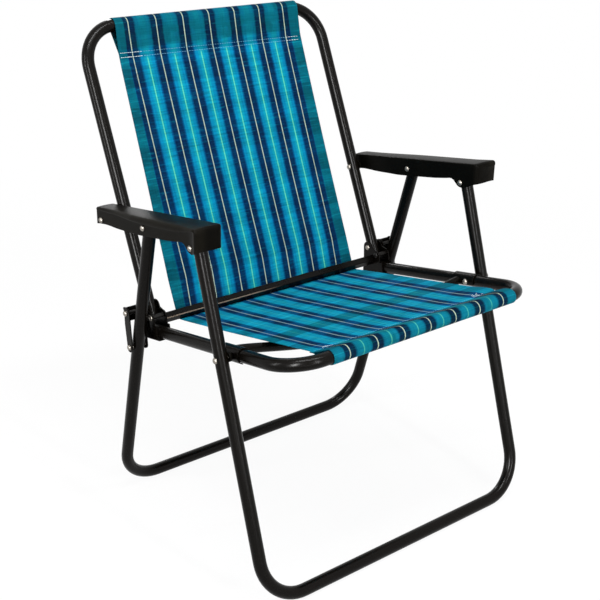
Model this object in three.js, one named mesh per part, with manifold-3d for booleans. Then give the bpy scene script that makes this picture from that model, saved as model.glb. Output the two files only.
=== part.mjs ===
import * as THREE from "three";
import { mergeVertices } from "three/addons/utils/BufferGeometryUtils.js";
import Module from "manifold-3d";

const wasm = await Module();
wasm.setup();

// Folding sling chair. Millimetres, +Z up, the sitter faces -Y, so the sitter's left is +X.
// Side-view places are pairs [y, z] and are shifted at the end so that the part stands centred.

// Steel tube of the four bent frames
const tubeRadius = 9.525;
const tubeWall = 1.2;
const tubeSides = 24;
const boreSides = 12;
const bendSteps = 6;
const legBend = 65;
const backBend = 60;
const seatBend = 52;

// Fits
const fitGap = 0.3;
const overrun = 2;

// Front legs: a U standing on its bar
const frontFootY = -190.4;
const frontSplay = 2.6;
const frontLegPlay = 2.8;

// Rear legs: a U standing on its bar, its legs passing ahead of the hinge
const rearLegAhead = 21.4;
const rearSplay = 7.5;
const rearLegPlay = 5.5;
const rearLegGap = 0.575;
const legPastPivot = 8;

// Seat frame: a U open to the rear, sloping down to the rear
const seatFrontY = -201.5;
const seatFrontZ = 374.1;
const seatSlopeDeg = 11.285;
const seatFlare = 3;
const seatRearHalf = 226.6;
const seatLength = 368.6;

// Back frame: an inverted U hinged above the seat frame's rear ends
const hingeFromEnd = 17.65;
const hingeRise = 34.95;
const backLeanDeg = 24.04;
const backLength = 428.1;
const backTaper = 0.9;
const backPastHinge = 12;

// Pivots on the arms, from the arm's rear pivot, and where the other pivots sit on their tubes
const armPivotUp = 143.2;
const armNosePast = 29.5;
const armFrontRise = 27.1;
const armMidShare = 0.4977;
const armMidRise = 21.3;
const linkPivotDown = 212.3;

// Rivets
const pinRadius = 3.2;
const headRadius = 4.5;
const headHeight = 3;
const lowHeadHeight = 1.5;
const innerHeadHeight = 2.2;
const rivetSides = 16;
const domeSteps = 3;

// Armrests: moulded inverted channels
const armLength = 284;
const armPastRear = 14.4;
const armStandoff = 3.68;
const armWall = 2.4;
const armTopWall = 3;
const armEndWall = 3.5;
const armDepth = 29;
const armTopRise = 47;
const armRearTop = 17.2;
const armFlare = 11.6;
const armLip = 0.5;
const armLipDepth = 10;
const armInnerRound = 3;
const armOuterRound = 7;
const armRoundLimitShare = 0.4;
const armLipLimitShare = 0.6;
const roundSteps = 4;
// Along the length from the rear end, side wall depth, flare, inner edge moved out, top dropped
const armStationShares = [
  [0, 0.55, 0, 0.012, 0.022], [0.008, 0.79, 0, 0.005, 0.006], [0.024, 0.87, 0, 0, 0],
  [0.05, 0.91, 0, 0, 0], [0.165, 0.89, 0, 0, 0], [0.28, 0.99, 0.01, 0, 0],
  [0.44, 1.0, 0.06, 0, 0], [0.535, 1.02, 0.13, 0, 0], [0.605, 1.06, 0.21, 0, 0],
  [0.7, 1.03, 0.38, 0, 0], [0.8, 1.0, 0.6, 0, 0], [0.835, 1.05, 0.7, 0, 0],
  [0.862, 1.35, 0.78, 0.002, 0], [0.895, 1.48, 0.88, 0.005, 0], [0.93, 1.46, 0.96, 0.009, 0],
  [0.96, 1.34, 1, 0.014, 0], [0.982, 1.16, 0.93, 0.022, 0.004], [0.995, 0.98, 0.72, 0.033, 0.012],
  [1, 0.8, 0.5, 0.042, 0.022],
];
// Inside of the channel, along the length from the rear end
const armHollowShares = [0.016, 0.978];

// Seat brackets: sheet channels round the rear ends of the seat and back tubes
const bracketSheet = 2;
const bracketGap = 0.4;
const bracketHeadRadius = 10.5;
const bracketLength = 52;
const bracketHeelBehind = 9.5;
const bracketRearPast = 2;
const bracketToe = 1;

// Stop rivet in front of the back tube's foot, from the hinge along and square to the seat
const stopAhead = 18.9;
const stopBelow = 11.9;
const stopEdge = 8;

// Links from the hinge pin to the rear legs
const linkSheet = 2;
const linkHeadRadius = 10;
const linkFootRadius = 7.5;
const linkStandoff = 2.35;
const linkPlay = 3.65;
const linkWebFace = 5.7;
const linkWebSheet = 1.7;
const linkWebAbove = 6;
const linkWebBelow = 14;

// Rear cross bar, from the hinge
const crossRadius = 8;
const crossAhead = 9.5;
const crossBelow = 17.2;

// Brace under the seat
const braceRadius = 7;
const braceSides = 12;
const braceBehind = 18;
const braceDrop = 34;
const braceSteps = 12;
const braceBowShare = 0.6;
const saddleSheet = 1.5;
const saddleGap = 0.6;
const saddleLength = 46;
const saddleBehind = 6.9;
const saddleFromDeg = -75;
const saddleToDeg = 205;
const saddleSteps = 12;

// Washers, bushes and spacers
const bushRadius = 7;
const washerRadius = 6.5;

// Sling: cloth as thin bodies
const clothInset = 46.6;
const clothThick = 1.4;
const clothSteps = 10;
const pocketSteps = 24;
const backPocketDepth = 46;
const seatPocketDepth = 34;
const backSag = 2;
const seatSag = 1;
const slingPartUp = 30;

const steelBlack = { color: 0x14120f, roughness: 0.35, metalness: 0.6 };
const sheetBlack = { color: 0x181715, roughness: 0.4, metalness: 0.6 };
const rivetSteel = { color: 0xb4b4b0, roughness: 0.35, metalness: 0.9 };
const armPlastic = { color: 0x121212, roughness: 0.55, metalness: 0 };
const bushPlastic = { color: 0x1c1c1c, roughness: 0.6, metalness: 0 };
const slingCloth = { color: 0x0a8390, roughness: 0.85, metalness: 0 };

const rad = THREE.MathUtils.degToRad;

// Side-view helpers on [y, z] pairs
const plus = (a, b, k = 1) => [a[0] + b[0] * k, a[1] + b[1] * k];
const minus = (a, b) => [a[0] - b[0], a[1] - b[1]];
const span = (a, b) => Math.hypot(b[0] - a[0], b[1] - a[1]);
const unit = (a, b) => {
  const d = span(a, b);
  return [(b[0] - a[0]) / d, (b[1] - a[1]) / d];
};
const mix = (a, b, t) => a + (b - a) * t;

// Widths, from the hinge outwards
const backFootHalf = seatRearHalf;
const backTopHalf = backFootHalf - backTaper;
const seatFrontHalf = seatRearHalf + seatFlare;
const backHalfAt = (s) => mix(backFootHalf, backTopHalf, s / backLength);
const seatHalfAt = (s) => mix(seatFrontHalf, seatRearHalf, s / seatLength);
const clothHalf = seatRearHalf - clothInset;
const armInnerFace = backHalfAt(armPivotUp) + tubeRadius + armStandoff;
const frontTopHalf = armInnerFace + armWall + frontLegPlay + tubeRadius;
const frontFootHalf = frontTopHalf + frontSplay;
const rearTopHalf = armInnerFace + armWall + rearLegPlay + tubeRadius;
const rearFootHalf = rearTopHalf - rearSplay;
const armOuterFace = rearTopHalf + tubeRadius + rearLegGap + armWall;
const bracketIn = backFootHalf - tubeRadius - bracketGap - bracketSheet;
const bracketOut = backFootHalf + tubeRadius + bracketGap + bracketSheet;

// Layout of the pivots
const armFrontReach = armLength - armPastRear - armNosePast;
const armMidReach = armFrontReach * armMidShare;
const hingeSetback = seatLength - hingeFromEnd;
const floorAxis = tubeRadius * Math.cos(Math.PI / tubeSides);
const seatAlong = [Math.cos(rad(seatSlopeDeg)), -Math.sin(rad(seatSlopeDeg))];
const seatUp = [-seatAlong[1], seatAlong[0]];
const seatFront = [seatFrontY, seatFrontZ];
const seatRear = plus(seatFront, seatAlong, seatLength);
const hinge = plus(plus(seatFront, seatAlong, hingeSetback), seatUp, hingeRise);
const backAlong = [Math.sin(rad(backLeanDeg)), Math.cos(rad(backLeanDeg))];
const backAhead = [-backAlong[1], backAlong[0]];
const backTop = plus(hinge, backAlong, backLength);
const armRearPivot = plus(hinge, backAlong, armPivotUp);
const armFrontPivot = plus(armRearPivot, [-armFrontReach, armFrontRise]);
const armMidPivot = plus(armRearPivot, [-armMidReach, armMidRise]);
const frontFoot = [frontFootY, floorAxis];
const rearPassing = plus(hinge, [-rearLegAhead, 0]);
const rearDown = unit(armMidPivot, rearPassing);
const rearFoot = plus(armMidPivot, rearDown, (floorAxis - armMidPivot[1]) / rearDown[1]);
const frontUp = unit(frontFoot, armFrontPivot);
const rearUp = unit(rearFoot, armMidPivot);
const linkFoot = plus(armMidPivot, rearUp, -linkPivotDown);
// The seat pivot lies where the seat tube crosses the front leg
const crossing = (() => {
  const d = minus(frontFoot, seatFront);
  const cross = frontUp[0] * seatUp[0] + frontUp[1] * seatUp[1];
  const rise = d[0] * seatUp[0] + d[1] * seatUp[1];
  return plus(frontFoot, frontUp, -rise / cross);
})();
const seatPivotAlong = (crossing[0] - seatFront[0]) * seatAlong[0]
  + (crossing[1] - seatFront[1]) * seatAlong[1];

// Half widths of the tubes at the pivots
const frontHalfAt = (p) => mix(frontFootHalf, frontTopHalf,
  span(frontFoot, p) / span(frontFoot, armFrontPivot));
const rearHalfAt = (p) => mix(rearFootHalf, rearTopHalf,
  span(rearFoot, p) / span(rearFoot, armMidPivot));
const linkInnerFace = bracketOut + linkStandoff;
const linkOuterFace = rearHalfAt(linkFoot) + tubeRadius + linkPlay + linkSheet;

// Curve through given stations, with the section held to one plane's normal
class StationPath extends THREE.Curve {
  constructor(points, normal) {
    super();
    this.points = points;
    this.normal = normal.clone().normalize();
  }
  getSpacedPoints() {
    return this.points;
  }
  getPointAt(u) {
    return this.points[Math.round(u * (this.points.length - 1))];
  }
  computeFrenetFrames(steps) {
    const tangents = [];
    const normals = [];
    const binormals = [];
    for (let i = 0; i <= steps; i++) {
      const before = this.points[Math.max(i - 1, 0)];
      const here = this.points[i];
      const after = this.points[Math.min(i + 1, steps)];
      // Where a straight run meets a bend, the section stays square to the straight run
      const t = new THREE.Vector3();
      [here.clone().sub(before), after.clone().sub(here)]
        .forEach((run) => t.addScaledVector(run, run.lengthSq()));
      t.normalize();
      tangents.push(t);
      normals.push(this.normal.clone());
      binormals.push(new THREE.Vector3().crossVectors(t, this.normal));
    }
    return { tangents, normals, binormals };
  }
}

const ringPoints = (radius, sides, phase) => {
  const points = [];
  for (let i = 0; i < sides; i++) {
    const a = phase + (i + 0.5) * (2 * Math.PI) / sides;
    points.push(new THREE.Vector2(radius * Math.cos(a), radius * Math.sin(a)));
  }
  return points;
};

const alongPath = (shape, path) => new THREE.ExtrudeGeometry(shape, {
  steps: path.points.length - 1,
  extrudePath: path,
});

// Closed body from a geometry: shared points, no flat triangles
const welded = (geometry) => {
  const plain = geometry.clone();
  plain.deleteAttribute("normal");
  plain.deleteAttribute("uv");
  const joined = mergeVertices(plain, fitGap / 1000);
  const index = joined.index ? joined.index.array : null;
  const kept = [];
  for (let i = 0; i < index.length; i += 3) {
    const [a, b, c] = [index[i], index[i + 1], index[i + 2]];
    if (a !== b && b !== c && c !== a) kept.push(a, b, c);
  }
  joined.setIndex(kept);
  return joined;
};

const solid = (geometry) => {
  const joined = welded(geometry);
  return new wasm.Manifold(new wasm.Mesh({
    numProp: 3,
    vertProperties: Float32Array.from(joined.attributes.position.array),
    triVerts: Uint32Array.from(joined.index.array),
  }));
};

const surface = (body) => {
  const mesh = body.getMesh();
  const geometry = new THREE.BufferGeometry();
  const points = new Float32Array(mesh.numVert * 3);
  for (let i = 0; i < mesh.numVert; i++) {
    for (let k = 0; k < 3; k++) points[i * 3 + k] = mesh.vertProperties[i * mesh.numProp + k];
  }
  geometry.setAttribute("position", new THREE.BufferAttribute(points, 3));
  geometry.setIndex(Array.from(mesh.triVerts));
  return geometry;
};

// The same piece on the sitter's right: mirrored in X, with its triangles turned round
const mirrored = (geometry) => {
  const copy = geometry.clone();
  const position = copy.attributes.position;
  for (let i = 0; i < position.count; i++) position.setX(i, -position.getX(i));
  const index = Array.from(copy.index.array);
  for (let i = 0; i < index.length; i += 3) {
    [index[i + 1], index[i + 2]] = [index[i + 2], index[i + 1]];
  }
  copy.setIndex(index);
  return copy;
};

// Round body along X between two places, about a side-view point
const rodAlongX = (radius, sides, x0, x1, at) => {
  const rod = new THREE.CylinderGeometry(radius, radius, x1 - x0, sides, 1);
  rod.rotateZ(Math.PI / 2);
  rod.translate((x0 + x1) / 2, at[0], at[1]);
  return rod;
};

const drilled = (body, radius, x0, x1, at) => {
  const hole = rodAlongX(radius, rivetSides, x0 - overrun, x1 + overrun, at);
  return body.subtract(solid(hole));
};

// Bend of given radius between two straight runs that meet at a corner
const cornerArc = (corner, toFirst, toSecond, radius) => {
  const half = toFirst.angleTo(toSecond) / 2;
  const inset = radius / Math.tan(half);
  const start = corner.clone().addScaledVector(toFirst, inset);
  const end = corner.clone().addScaledVector(toSecond, inset);
  const middle = toFirst.clone().add(toSecond).normalize();
  const centre = corner.clone().addScaledVector(middle, radius / Math.sin(half));
  const a = start.clone().sub(centre);
  const b = end.clone().sub(centre);
  const turn = a.angleTo(b);
  const points = [];
  for (let i = 0; i <= bendSteps; i++) {
    const t = i / bendSteps;
    const p = centre.clone();
    p.addScaledVector(a, Math.sin((1 - t) * turn) / Math.sin(turn));
    p.addScaledVector(b, Math.sin(t * turn) / Math.sin(turn));
    points.push(p);
  }
  return points;
};

// U of tube: a bar between two legs, its legs running from the bar's height to an end point
const tubeU = (bar, end, barHalf, endHalf, bend) => {
  const corner = (side) => new THREE.Vector3(side * barHalf, bar[0], bar[1]);
  const tip = (side) => new THREE.Vector3(side * endHalf, end[0], end[1]);
  const along = (side) => tip(side).sub(corner(side)).normalize();
  const inward = (side) => new THREE.Vector3(-side, 0, 0);
  const points = [
    tip(-1),
    ...cornerArc(corner(-1), along(-1), inward(-1), bend),
    ...cornerArc(corner(1), inward(1), along(1), bend),
    tip(1),
  ];
  const normal = new THREE.Vector3(1, 0, 0).cross(along(1));
  const path = new StationPath(points, normal);
  // A flat of the section faces straight down on the bar
  const binormal = new THREE.Vector3(1, 0, 0).cross(path.normal);
  const phase = Math.atan2(-binormal.z, -path.normal.z);
  const shape = new THREE.Shape(ringPoints(tubeRadius, tubeSides, phase));
  const bore = ringPoints(tubeRadius - tubeWall, boreSides, phase).reverse();
  shape.holes.push(new THREE.Path(bore));
  return solid(alongPath(shape, path));
};

// Rivet along X with a domed head at each end; a head radius of the shaft's own makes a plain end
const rivetBody = (xIn, xOut, inHead, inHeight, outHead, outHeight, at) => {
  const profile = [new THREE.Vector2(0, xIn - inHeight)];
  for (let i = 1; i <= domeSteps; i++) {
    const a = (i / domeSteps) * (Math.PI / 2);
    profile.push(new THREE.Vector2(inHead * Math.sin(a), xIn - inHeight * Math.cos(a)));
  }
  if (inHead > pinRadius) profile.push(new THREE.Vector2(pinRadius, xIn));
  if (outHead > pinRadius) profile.push(new THREE.Vector2(pinRadius, xOut));
  for (let i = domeSteps; i >= 1; i--) {
    const a = (i / domeSteps) * (Math.PI / 2);
    profile.push(new THREE.Vector2(outHead * Math.sin(a), xOut + outHeight * Math.cos(a)));
  }
  profile.push(new THREE.Vector2(0, xOut + outHeight));
  const body = new THREE.LatheGeometry(profile, rivetSides);
  body.rotateZ(-Math.PI / 2);
  body.translate(0, at[0], at[1]);
  return surface(solid(body));
};

// Stub: a head outside and a plain end
const stubOut = (xIn, xOut, at) => {
  const profile = [
    new THREE.Vector2(0, xIn),
    new THREE.Vector2(pinRadius, xIn),
    new THREE.Vector2(pinRadius, xOut),
  ];
  for (let i = domeSteps; i >= 1; i--) {
    const a = (i / domeSteps) * (Math.PI / 2);
    profile.push(new THREE.Vector2(headRadius * Math.sin(a), xOut + headHeight * Math.cos(a)));
  }
  profile.push(new THREE.Vector2(0, xOut + headHeight));
  const body = new THREE.LatheGeometry(profile, rivetSides);
  body.rotateZ(-Math.PI / 2);
  body.translate(0, at[0], at[1]);
  return surface(solid(body));
};

const stubIn = (xIn, xOut, height, at) => {
  const profile = [new THREE.Vector2(0, xIn - height)];
  for (let i = 1; i <= domeSteps; i++) {
    const a = (i / domeSteps) * (Math.PI / 2);
    profile.push(new THREE.Vector2(headRadius * Math.sin(a), xIn - height * Math.cos(a)));
  }
  profile.push(new THREE.Vector2(pinRadius, xIn));
  profile.push(new THREE.Vector2(pinRadius, xOut));
  profile.push(new THREE.Vector2(0, xOut));
  const body = new THREE.LatheGeometry(profile, rivetSides);
  body.rotateZ(-Math.PI / 2);
  body.translate(0, at[0], at[1]);
  return surface(solid(body));
};

const ringAlongX = (radius, hole, x0, x1, at) => {
  const body = solid(rodAlongX(radius, rivetSides, x0, x1, at));
  return surface(drilled(body, hole, x0, x1, at));
};

// Side-view outline of [y, z] pairs pushed along X from one place to another
const plateBetween = (outline, x0, x1) => {
  const shape = new THREE.Shape(outline.map((p) => new THREE.Vector2(p[0], p[1])));
  const plate = new THREE.ExtrudeGeometry(shape, { depth: x1 - x0, bevelEnabled: false, steps: 1 });
  const turn = new THREE.Matrix4().makeBasis(
    new THREE.Vector3(0, 1, 0), new THREE.Vector3(0, 0, 1), new THREE.Vector3(1, 0, 0));
  plate.applyMatrix4(turn);
  plate.translate(x0, 0, 0);
  return solid(plate);
};

const arcOutline = (centre, radius, from, to, steps) => {
  const points = [];
  for (let i = 0; i <= steps; i++) {
    const a = mix(from, to, i / steps);
    points.push([centre[0] + radius * Math.cos(a), centre[1] + radius * Math.sin(a)]);
  }
  return points;
};

// Closed body through rings with the same number of points, that follow each other towards -Y
const lofted = (rows) => {
  const flat = (ring) => ring.map((p) => new THREE.Vector2(p.x, p.z));
  const turned = THREE.ShapeUtils.area(flat(rows[0])) < 0;
  const rings = turned ? rows.map((ring) => [...ring].reverse()) : rows;
  const count = rings[0].length;
  const points = [];
  const index = [];
  rings.forEach((ring) => ring.forEach((p) => points.push(p.x, p.y, p.z)));
  for (let r = 0; r < rings.length - 1; r++) {
    for (let i = 0; i < count; i++) {
      const j = (i + 1) % count;
      const [a, b] = [r * count + i, r * count + j];
      const [c, d] = [a + count, b + count];
      index.push(a, b, d, a, d, c);
    }
  }
  const last = (rings.length - 1) * count;
  THREE.ShapeUtils.triangulateShape(flat(rings[0]), [])
    .forEach(([a, b, c]) => index.push(a, c, b));
  THREE.ShapeUtils.triangulateShape(flat(rings[rings.length - 1]), [])
    .forEach(([a, b, c]) => index.push(last + a, last + b, last + c));
  const geometry = new THREE.BufferGeometry();
  geometry.setAttribute("position", new THREE.Float32BufferAttribute(points, 3));
  geometry.setIndex(index);
  return geometry;
};

const asSolid = (geometry) => {
  const body = new wasm.Manifold(new wasm.Mesh({
    numProp: 3,
    vertProperties: Float32Array.from(geometry.attributes.position.array),
    triVerts: Uint32Array.from(geometry.index.array),
  }));
  return body;
};

// Frames
const frontTip = plus(armFrontPivot, frontUp, legPastPivot);
const rearTip = plus(armMidPivot, rearUp, legPastPivot);
const backTip = plus(hinge, backAlong, -backPastHinge);

const throughBoth = (body, radius, half, at) => {
  const reach = tubeRadius + overrun;
  const one = drilled(body, radius, half - reach, half + reach, at);
  return drilled(one, radius, -half - reach, -half + reach, at);
};

const pinHole = pinRadius + fitGap;

const frontLegFrame = () => {
  let body = tubeU(frontFoot, frontTip, frontFootHalf, frontHalfAt(frontTip), legBend);
  body = throughBoth(body, pinHole, frontHalfAt(crossing), crossing);
  body = throughBoth(body, pinHole, frontTopHalf, armFrontPivot);
  return surface(body);
};

const rearLegFrame = () => {
  let body = tubeU(rearFoot, rearTip, rearFootHalf, rearHalfAt(rearTip), legBend);
  body = throughBoth(body, pinHole, rearTopHalf, armMidPivot);
  body = throughBoth(body, pinHole, rearHalfAt(linkFoot), linkFoot);
  return surface(body);
};

const seatFrame = () => {
  let body = tubeU(seatFront, seatRear, seatFrontHalf, seatRearHalf, seatBend);
  body = throughBoth(body, pinHole, seatHalfAt(seatPivotAlong), crossing);
  return surface(body);
};

const backFrame = () => {
  let body = tubeU(backTop, backTip, backTopHalf, backHalfAt(-backPastHinge), backBend);
  body = throughBoth(body, pinHole, backFootHalf, hinge);
  body = throughBoth(body, pinHole, backHalfAt(armPivotUp), armRearPivot);
  return surface(body);
};

// Seat brackets
const bracketFloor = -(tubeRadius + fitGap);
const seatPoint = (s, up) => plus(plus(seatFront, seatAlong, s), seatUp, up);
const stopAt = seatPoint(hingeSetback - stopAhead, hingeRise - stopBelow);
const crossAt = plus(hinge, [-crossAhead, -crossBelow]);

const seatBracket = () => {
  const rear = seatLength + bracketRearPast;
  const front = rear - bracketLength;
  const toHead = Math.atan2(seatUp[1], seatUp[0]);
  const head = arcOutline(hinge, bracketHeadRadius, Math.PI - toHead / 8, 0, domeSteps * 3).reverse();
  const outline = [
    seatPoint(front, bracketFloor - bracketSheet),
    seatPoint(rear, bracketFloor - bracketSheet),
    plus(hinge, [bracketHeelBehind, -hingeRise / 2]),
    ...head,
    ...arcOutline(stopAt, stopEdge, toHead, toHead + Math.PI / 2, domeSteps),
    seatPoint(hingeSetback - stopAhead - stopEdge, tubeRadius + bracketToe),
    seatPoint(front, tubeRadius + bracketToe),
  ];
  const inside = [
    seatPoint(front - overrun, bracketFloor),
    seatPoint(rear + overrun, bracketFloor),
    seatPoint(rear + overrun, hingeRise + bracketHeadRadius * 2),
    seatPoint(front - overrun, hingeRise + bracketHeadRadius * 2),
  ];
  let body = plateBetween(outline, bracketIn, bracketOut);
  body = body.subtract(plateBetween(inside, bracketIn + bracketSheet, bracketOut - bracketSheet));
  body = drilled(body, pinHole, bracketIn, bracketOut, hinge);
  body = drilled(body, pinHole, bracketIn, bracketOut, stopAt);
  return surface(body);
};

// Links
const link = () => {
  const down = unit(hinge, linkFoot);
  const behind = [-down[1], down[0]];
  const length = span(hinge, linkFoot);
  const at = (along, back) => plus(plus(hinge, down, along), behind, back);
  const lean = Math.atan2(down[1], down[0]);
  const spread = Math.acos((linkHeadRadius - linkFootRadius) / length);
  const outline = [
    ...arcOutline(linkFoot, linkFootRadius, lean - spread, lean + spread, domeSteps * 3),
    ...arcOutline(hinge, linkHeadRadius, lean + spread, lean + 2 * Math.PI - spread, domeSteps * 4),
  ];
  const far = linkHeadRadius * 2;
  const clip = [
    at(-far, -far), at(length + far, -far), at(length + far, linkWebFace), at(-far, linkWebFace),
  ];
  let body = plateBetween(outline, linkInnerFace, linkOuterFace);
  body = body.intersect(plateBetween(clip, linkInnerFace - overrun, linkOuterFace + overrun));
  const webIn = linkWebFace - linkWebSheet;
  const [x0, x1] = [linkInnerFace + linkSheet, linkOuterFace - linkSheet];
  const ahead = [at(-far, -far), at(length + far, -far), at(length + far, webIn), at(-far, webIn)];
  const above = [at(-far, -far), at(-linkWebAbove, -far), at(-linkWebAbove, far), at(-far, far)];
  const below = [at(linkWebBelow, -far), at(length + far, -far), at(length + far, far),
    at(linkWebBelow, far)];
  [ahead, above, below].forEach((cut) => {
    body = body.subtract(plateBetween(cut, x0, x1));
  });
  // The link clears the leg, which runs through it
  const legEnds = [
    new THREE.Vector3(rearFootHalf, rearFoot[0], rearFoot[1]),
    new THREE.Vector3(rearTopHalf, armMidPivot[0], armMidPivot[1]),
  ];
  const legPath = new StationPath(legEnds, new THREE.Vector3(1, 0, 0));
  const legRing = new THREE.Shape(ringPoints(tubeRadius + fitGap, tubeSides, 0));
  body = body.subtract(solid(alongPath(legRing, legPath)));
  body = drilled(body, pinHole, linkInnerFace, linkOuterFace, hinge);
  body = drilled(body, pinHole, linkInnerFace, linkOuterFace, linkFoot);
  return surface(body);
};

// Armrests
const armRearEnd = armRearPivot[0] + armPastRear;
const armTopAt = (share) => armRearPivot[1] + armRearTop + share * armTopRise;

const armRing = (share, depthShare, flareShare, inShare, dropShare) => {
  const y = armRearEnd - share * armLength;
  const top = armTopAt(share) - dropShare * armLength;
  const bottom = armTopAt(share) - depthShare * armDepth;
  const inner = armInnerFace + inShare * armLength;
  const wall = armOuterFace - inShare * armLength / 2;
  const edge = wall + armLip + flareShare * armFlare;
  const height = top - bottom;
  const roundIn = Math.min(armInnerRound, height * armRoundLimitShare);
  const roundOut = Math.min(armOuterRound, height * armRoundLimitShare);
  const points = [];
  const add = (x, z) => points.push(new THREE.Vector3(x, y, z));
  add(inner, bottom);
  for (let i = 0; i <= roundSteps / 2; i++) {
    const a = (i / (roundSteps / 2)) * (Math.PI / 2);
    add(inner + roundIn * (1 - Math.cos(a)), top - roundIn * (1 - Math.sin(a)));
  }
  for (let i = 0; i <= roundSteps; i++) {
    const a = (i / roundSteps) * (Math.PI / 2);
    add(edge - roundOut * (1 - Math.sin(a)), top - roundOut * (1 - Math.cos(a)));
  }
  const lipLow = top - Math.min(armLipDepth, height * armLipLimitShare);
  add(edge, lipLow);
  add(wall, lipLow - armLip - (flareShare * armFlare) / 2);
  add(wall, bottom);
  return points;
};

const armrest = () => {
  const rings = armStationShares.map((row) => armRing(...row));
  let body = asSolid(lofted(rings));
  const [rearShare, noseShare] = armHollowShares;
  const hollowRing = (share) => {
    const y = armRearEnd - share * armLength;
    const roof = armTopAt(share) - armTopWall;
    const mouth = armTopAt(share) - armDepth * 2;
    const [x0, x1] = [armInnerFace + armWall, armOuterFace - armWall];
    return [[x0, mouth], [x0, roof], [x1, roof], [x1, mouth]]
      .map(([x, z]) => new THREE.Vector3(x, y, z));
  };
  const hollow = lofted([hollowRing(rearShare), hollowRing(noseShare)]);
  body = body.subtract(asSolid(hollow));
  [armRearPivot, armMidPivot, armFrontPivot].forEach((at) => {
    body = drilled(body, pinHole, armInnerFace, armOuterFace, at);
  });
  return surface(body);
};

// Rear cross bar between the brackets' inner flanges
const crossBar = () => {
  const reach = bracketIn - fitGap;
  let body = solid(rodAlongX(crossRadius, tubeSides, -reach, reach, crossAt));
  body = body.subtract(solid(rodAlongX(crossRadius - tubeWall, boreSides,
    -reach - overrun, reach + overrun, crossAt)));
  return surface(body);
};

// Brace: a bowed tube with a saddle on each seat tube
const underSeatBrace = () => {
  const along = seatPivotAlong + braceBehind;
  const [y, z] = seatPoint(along, 0);
  const half = seatHalfAt(along);
  const points = [];
  for (let i = 0; i <= braceSteps; i++) {
    const t = -1 + (2 * i) / braceSteps;
    const bow = (1 + Math.cos(Math.PI * t)) / 2;
    points.push(new THREE.Vector3(t * (half - tubeRadius - saddleGap - saddleSheet / 2), y,
      z - braceDrop * Math.pow(bow, braceBowShare)));
  }
  const path = new StationPath(points, new THREE.Vector3(0, 1, 0));
  const shape = new THREE.Shape(ringPoints(braceRadius, braceSides, 0));
  let body = solid(alongPath(shape, path));
  const inner = tubeRadius + saddleGap;
  const outer = inner + saddleSheet;
  const saddle = (side) => {
    const ring = [];
    for (let i = 0; i <= saddleSteps; i++) {
      const a = rad(mix(saddleFromDeg, saddleToDeg, i / saddleSteps));
      ring.push(new THREE.Vector2(outer * Math.cos(a), outer * Math.sin(a)));
    }
    for (let i = saddleSteps; i >= 0; i--) {
      const a = rad(mix(saddleFromDeg, saddleToDeg, i / saddleSteps));
      ring.push(new THREE.Vector2(inner * Math.cos(a), inner * Math.sin(a)));
    }
    const plate = new THREE.ExtrudeGeometry(new THREE.Shape(ring),
      { depth: saddleLength, bevelEnabled: false, steps: 1 });
    const turn = new THREE.Matrix4().makeBasis(
      new THREE.Vector3(1, 0, 0),
      new THREE.Vector3(0, seatUp[0], seatUp[1]),
      new THREE.Vector3(0, -seatAlong[0], -seatAlong[1]));
    plate.applyMatrix4(turn);
    const rearEdge = seatPoint(seatPivotAlong + saddleBehind + saddleLength / 2, 0);
    plate.translate(half, rearEdge[0], rearEdge[1]);
    return side > 0 ? plate : mirrored(welded(plate));
  };
  [1, -1].forEach((side) => {
    body = body.add(solid(saddle(side)));
  });
  const reach = tubeRadius + saddleSheet + overrun;
  [1, -1].forEach((side) => {
    const seatTube = rodAlongX(inner, tubeSides, -saddleLength, saddleLength, [0, 0]);
    seatTube.rotateZ(Math.PI / 2);
    seatTube.rotateX(-rad(seatSlopeDeg));
    seatTube.translate(side * half, y, z);
    body = body.subtract(solid(seatTube));
    const [x0, x1] = [side * half - reach, side * half + reach];
    body = drilled(body, pinHole, x0, x1, crossing);
  });
  return surface(body);
};

// Sling: side-view middle line given by stations, thickened, with a pocket round a bar
const clothBody = (outline, hole, pocketHalf, pocketCut) => {
  const shape = new THREE.Shape(outline.map((p) => new THREE.Vector2(p[0], p[1])));
  shape.holes.push(new THREE.Path(hole.map((p) => new THREE.Vector2(p[0], p[1])).reverse()));
  const cloth = new THREE.ExtrudeGeometry(shape,
    { depth: 2 * clothHalf, bevelEnabled: false, steps: 1 });
  const turn = new THREE.Matrix4().makeBasis(
    new THREE.Vector3(0, 1, 0), new THREE.Vector3(0, 0, 1), new THREE.Vector3(1, 0, 0));
  cloth.applyMatrix4(turn);
  cloth.translate(-clothHalf, 0, 0);
  let body = solid(cloth);
  if (pocketHalf < clothHalf) {
    body = body.subtract(plateBetween(pocketCut, pocketHalf, clothHalf + overrun));
    body = body.subtract(plateBetween(pocketCut, -clothHalf - overrun, -pocketHalf));
  }
  return surface(body);
};

// Pocket outline round a bar, open towards a direction: tangent lines that meet at the seam
const pocketLine = (centre, radius, towards, seam) => {
  const d = seam;
  const half = Math.acos(radius / d);
  const base = Math.atan2(towards[1], towards[0]);
  const points = arcOutline(centre, radius, base + half, base + 2 * Math.PI - half, pocketSteps);
  return { points, seam: plus(centre, towards, d) };
};

// Panel outline on both sides of a middle line
const panelSides = (line, thick) => {
  const left = [];
  const right = [];
  line.forEach((p, i) => {
    const a = line[Math.max(i - 1, 0)];
    const b = line[Math.min(i + 1, line.length - 1)];
    const [dy, dz] = unit(a, b);
    left.push([p[0] - dz * thick / 2, p[1] + dy * thick / 2]);
    right.push([p[0] + dz * thick / 2, p[1] - dy * thick / 2]);
  });
  return { left, right };
};

const pocketRadius = (tubeRadius + fitGap) / Math.cos(Math.PI / pocketSteps);

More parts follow.
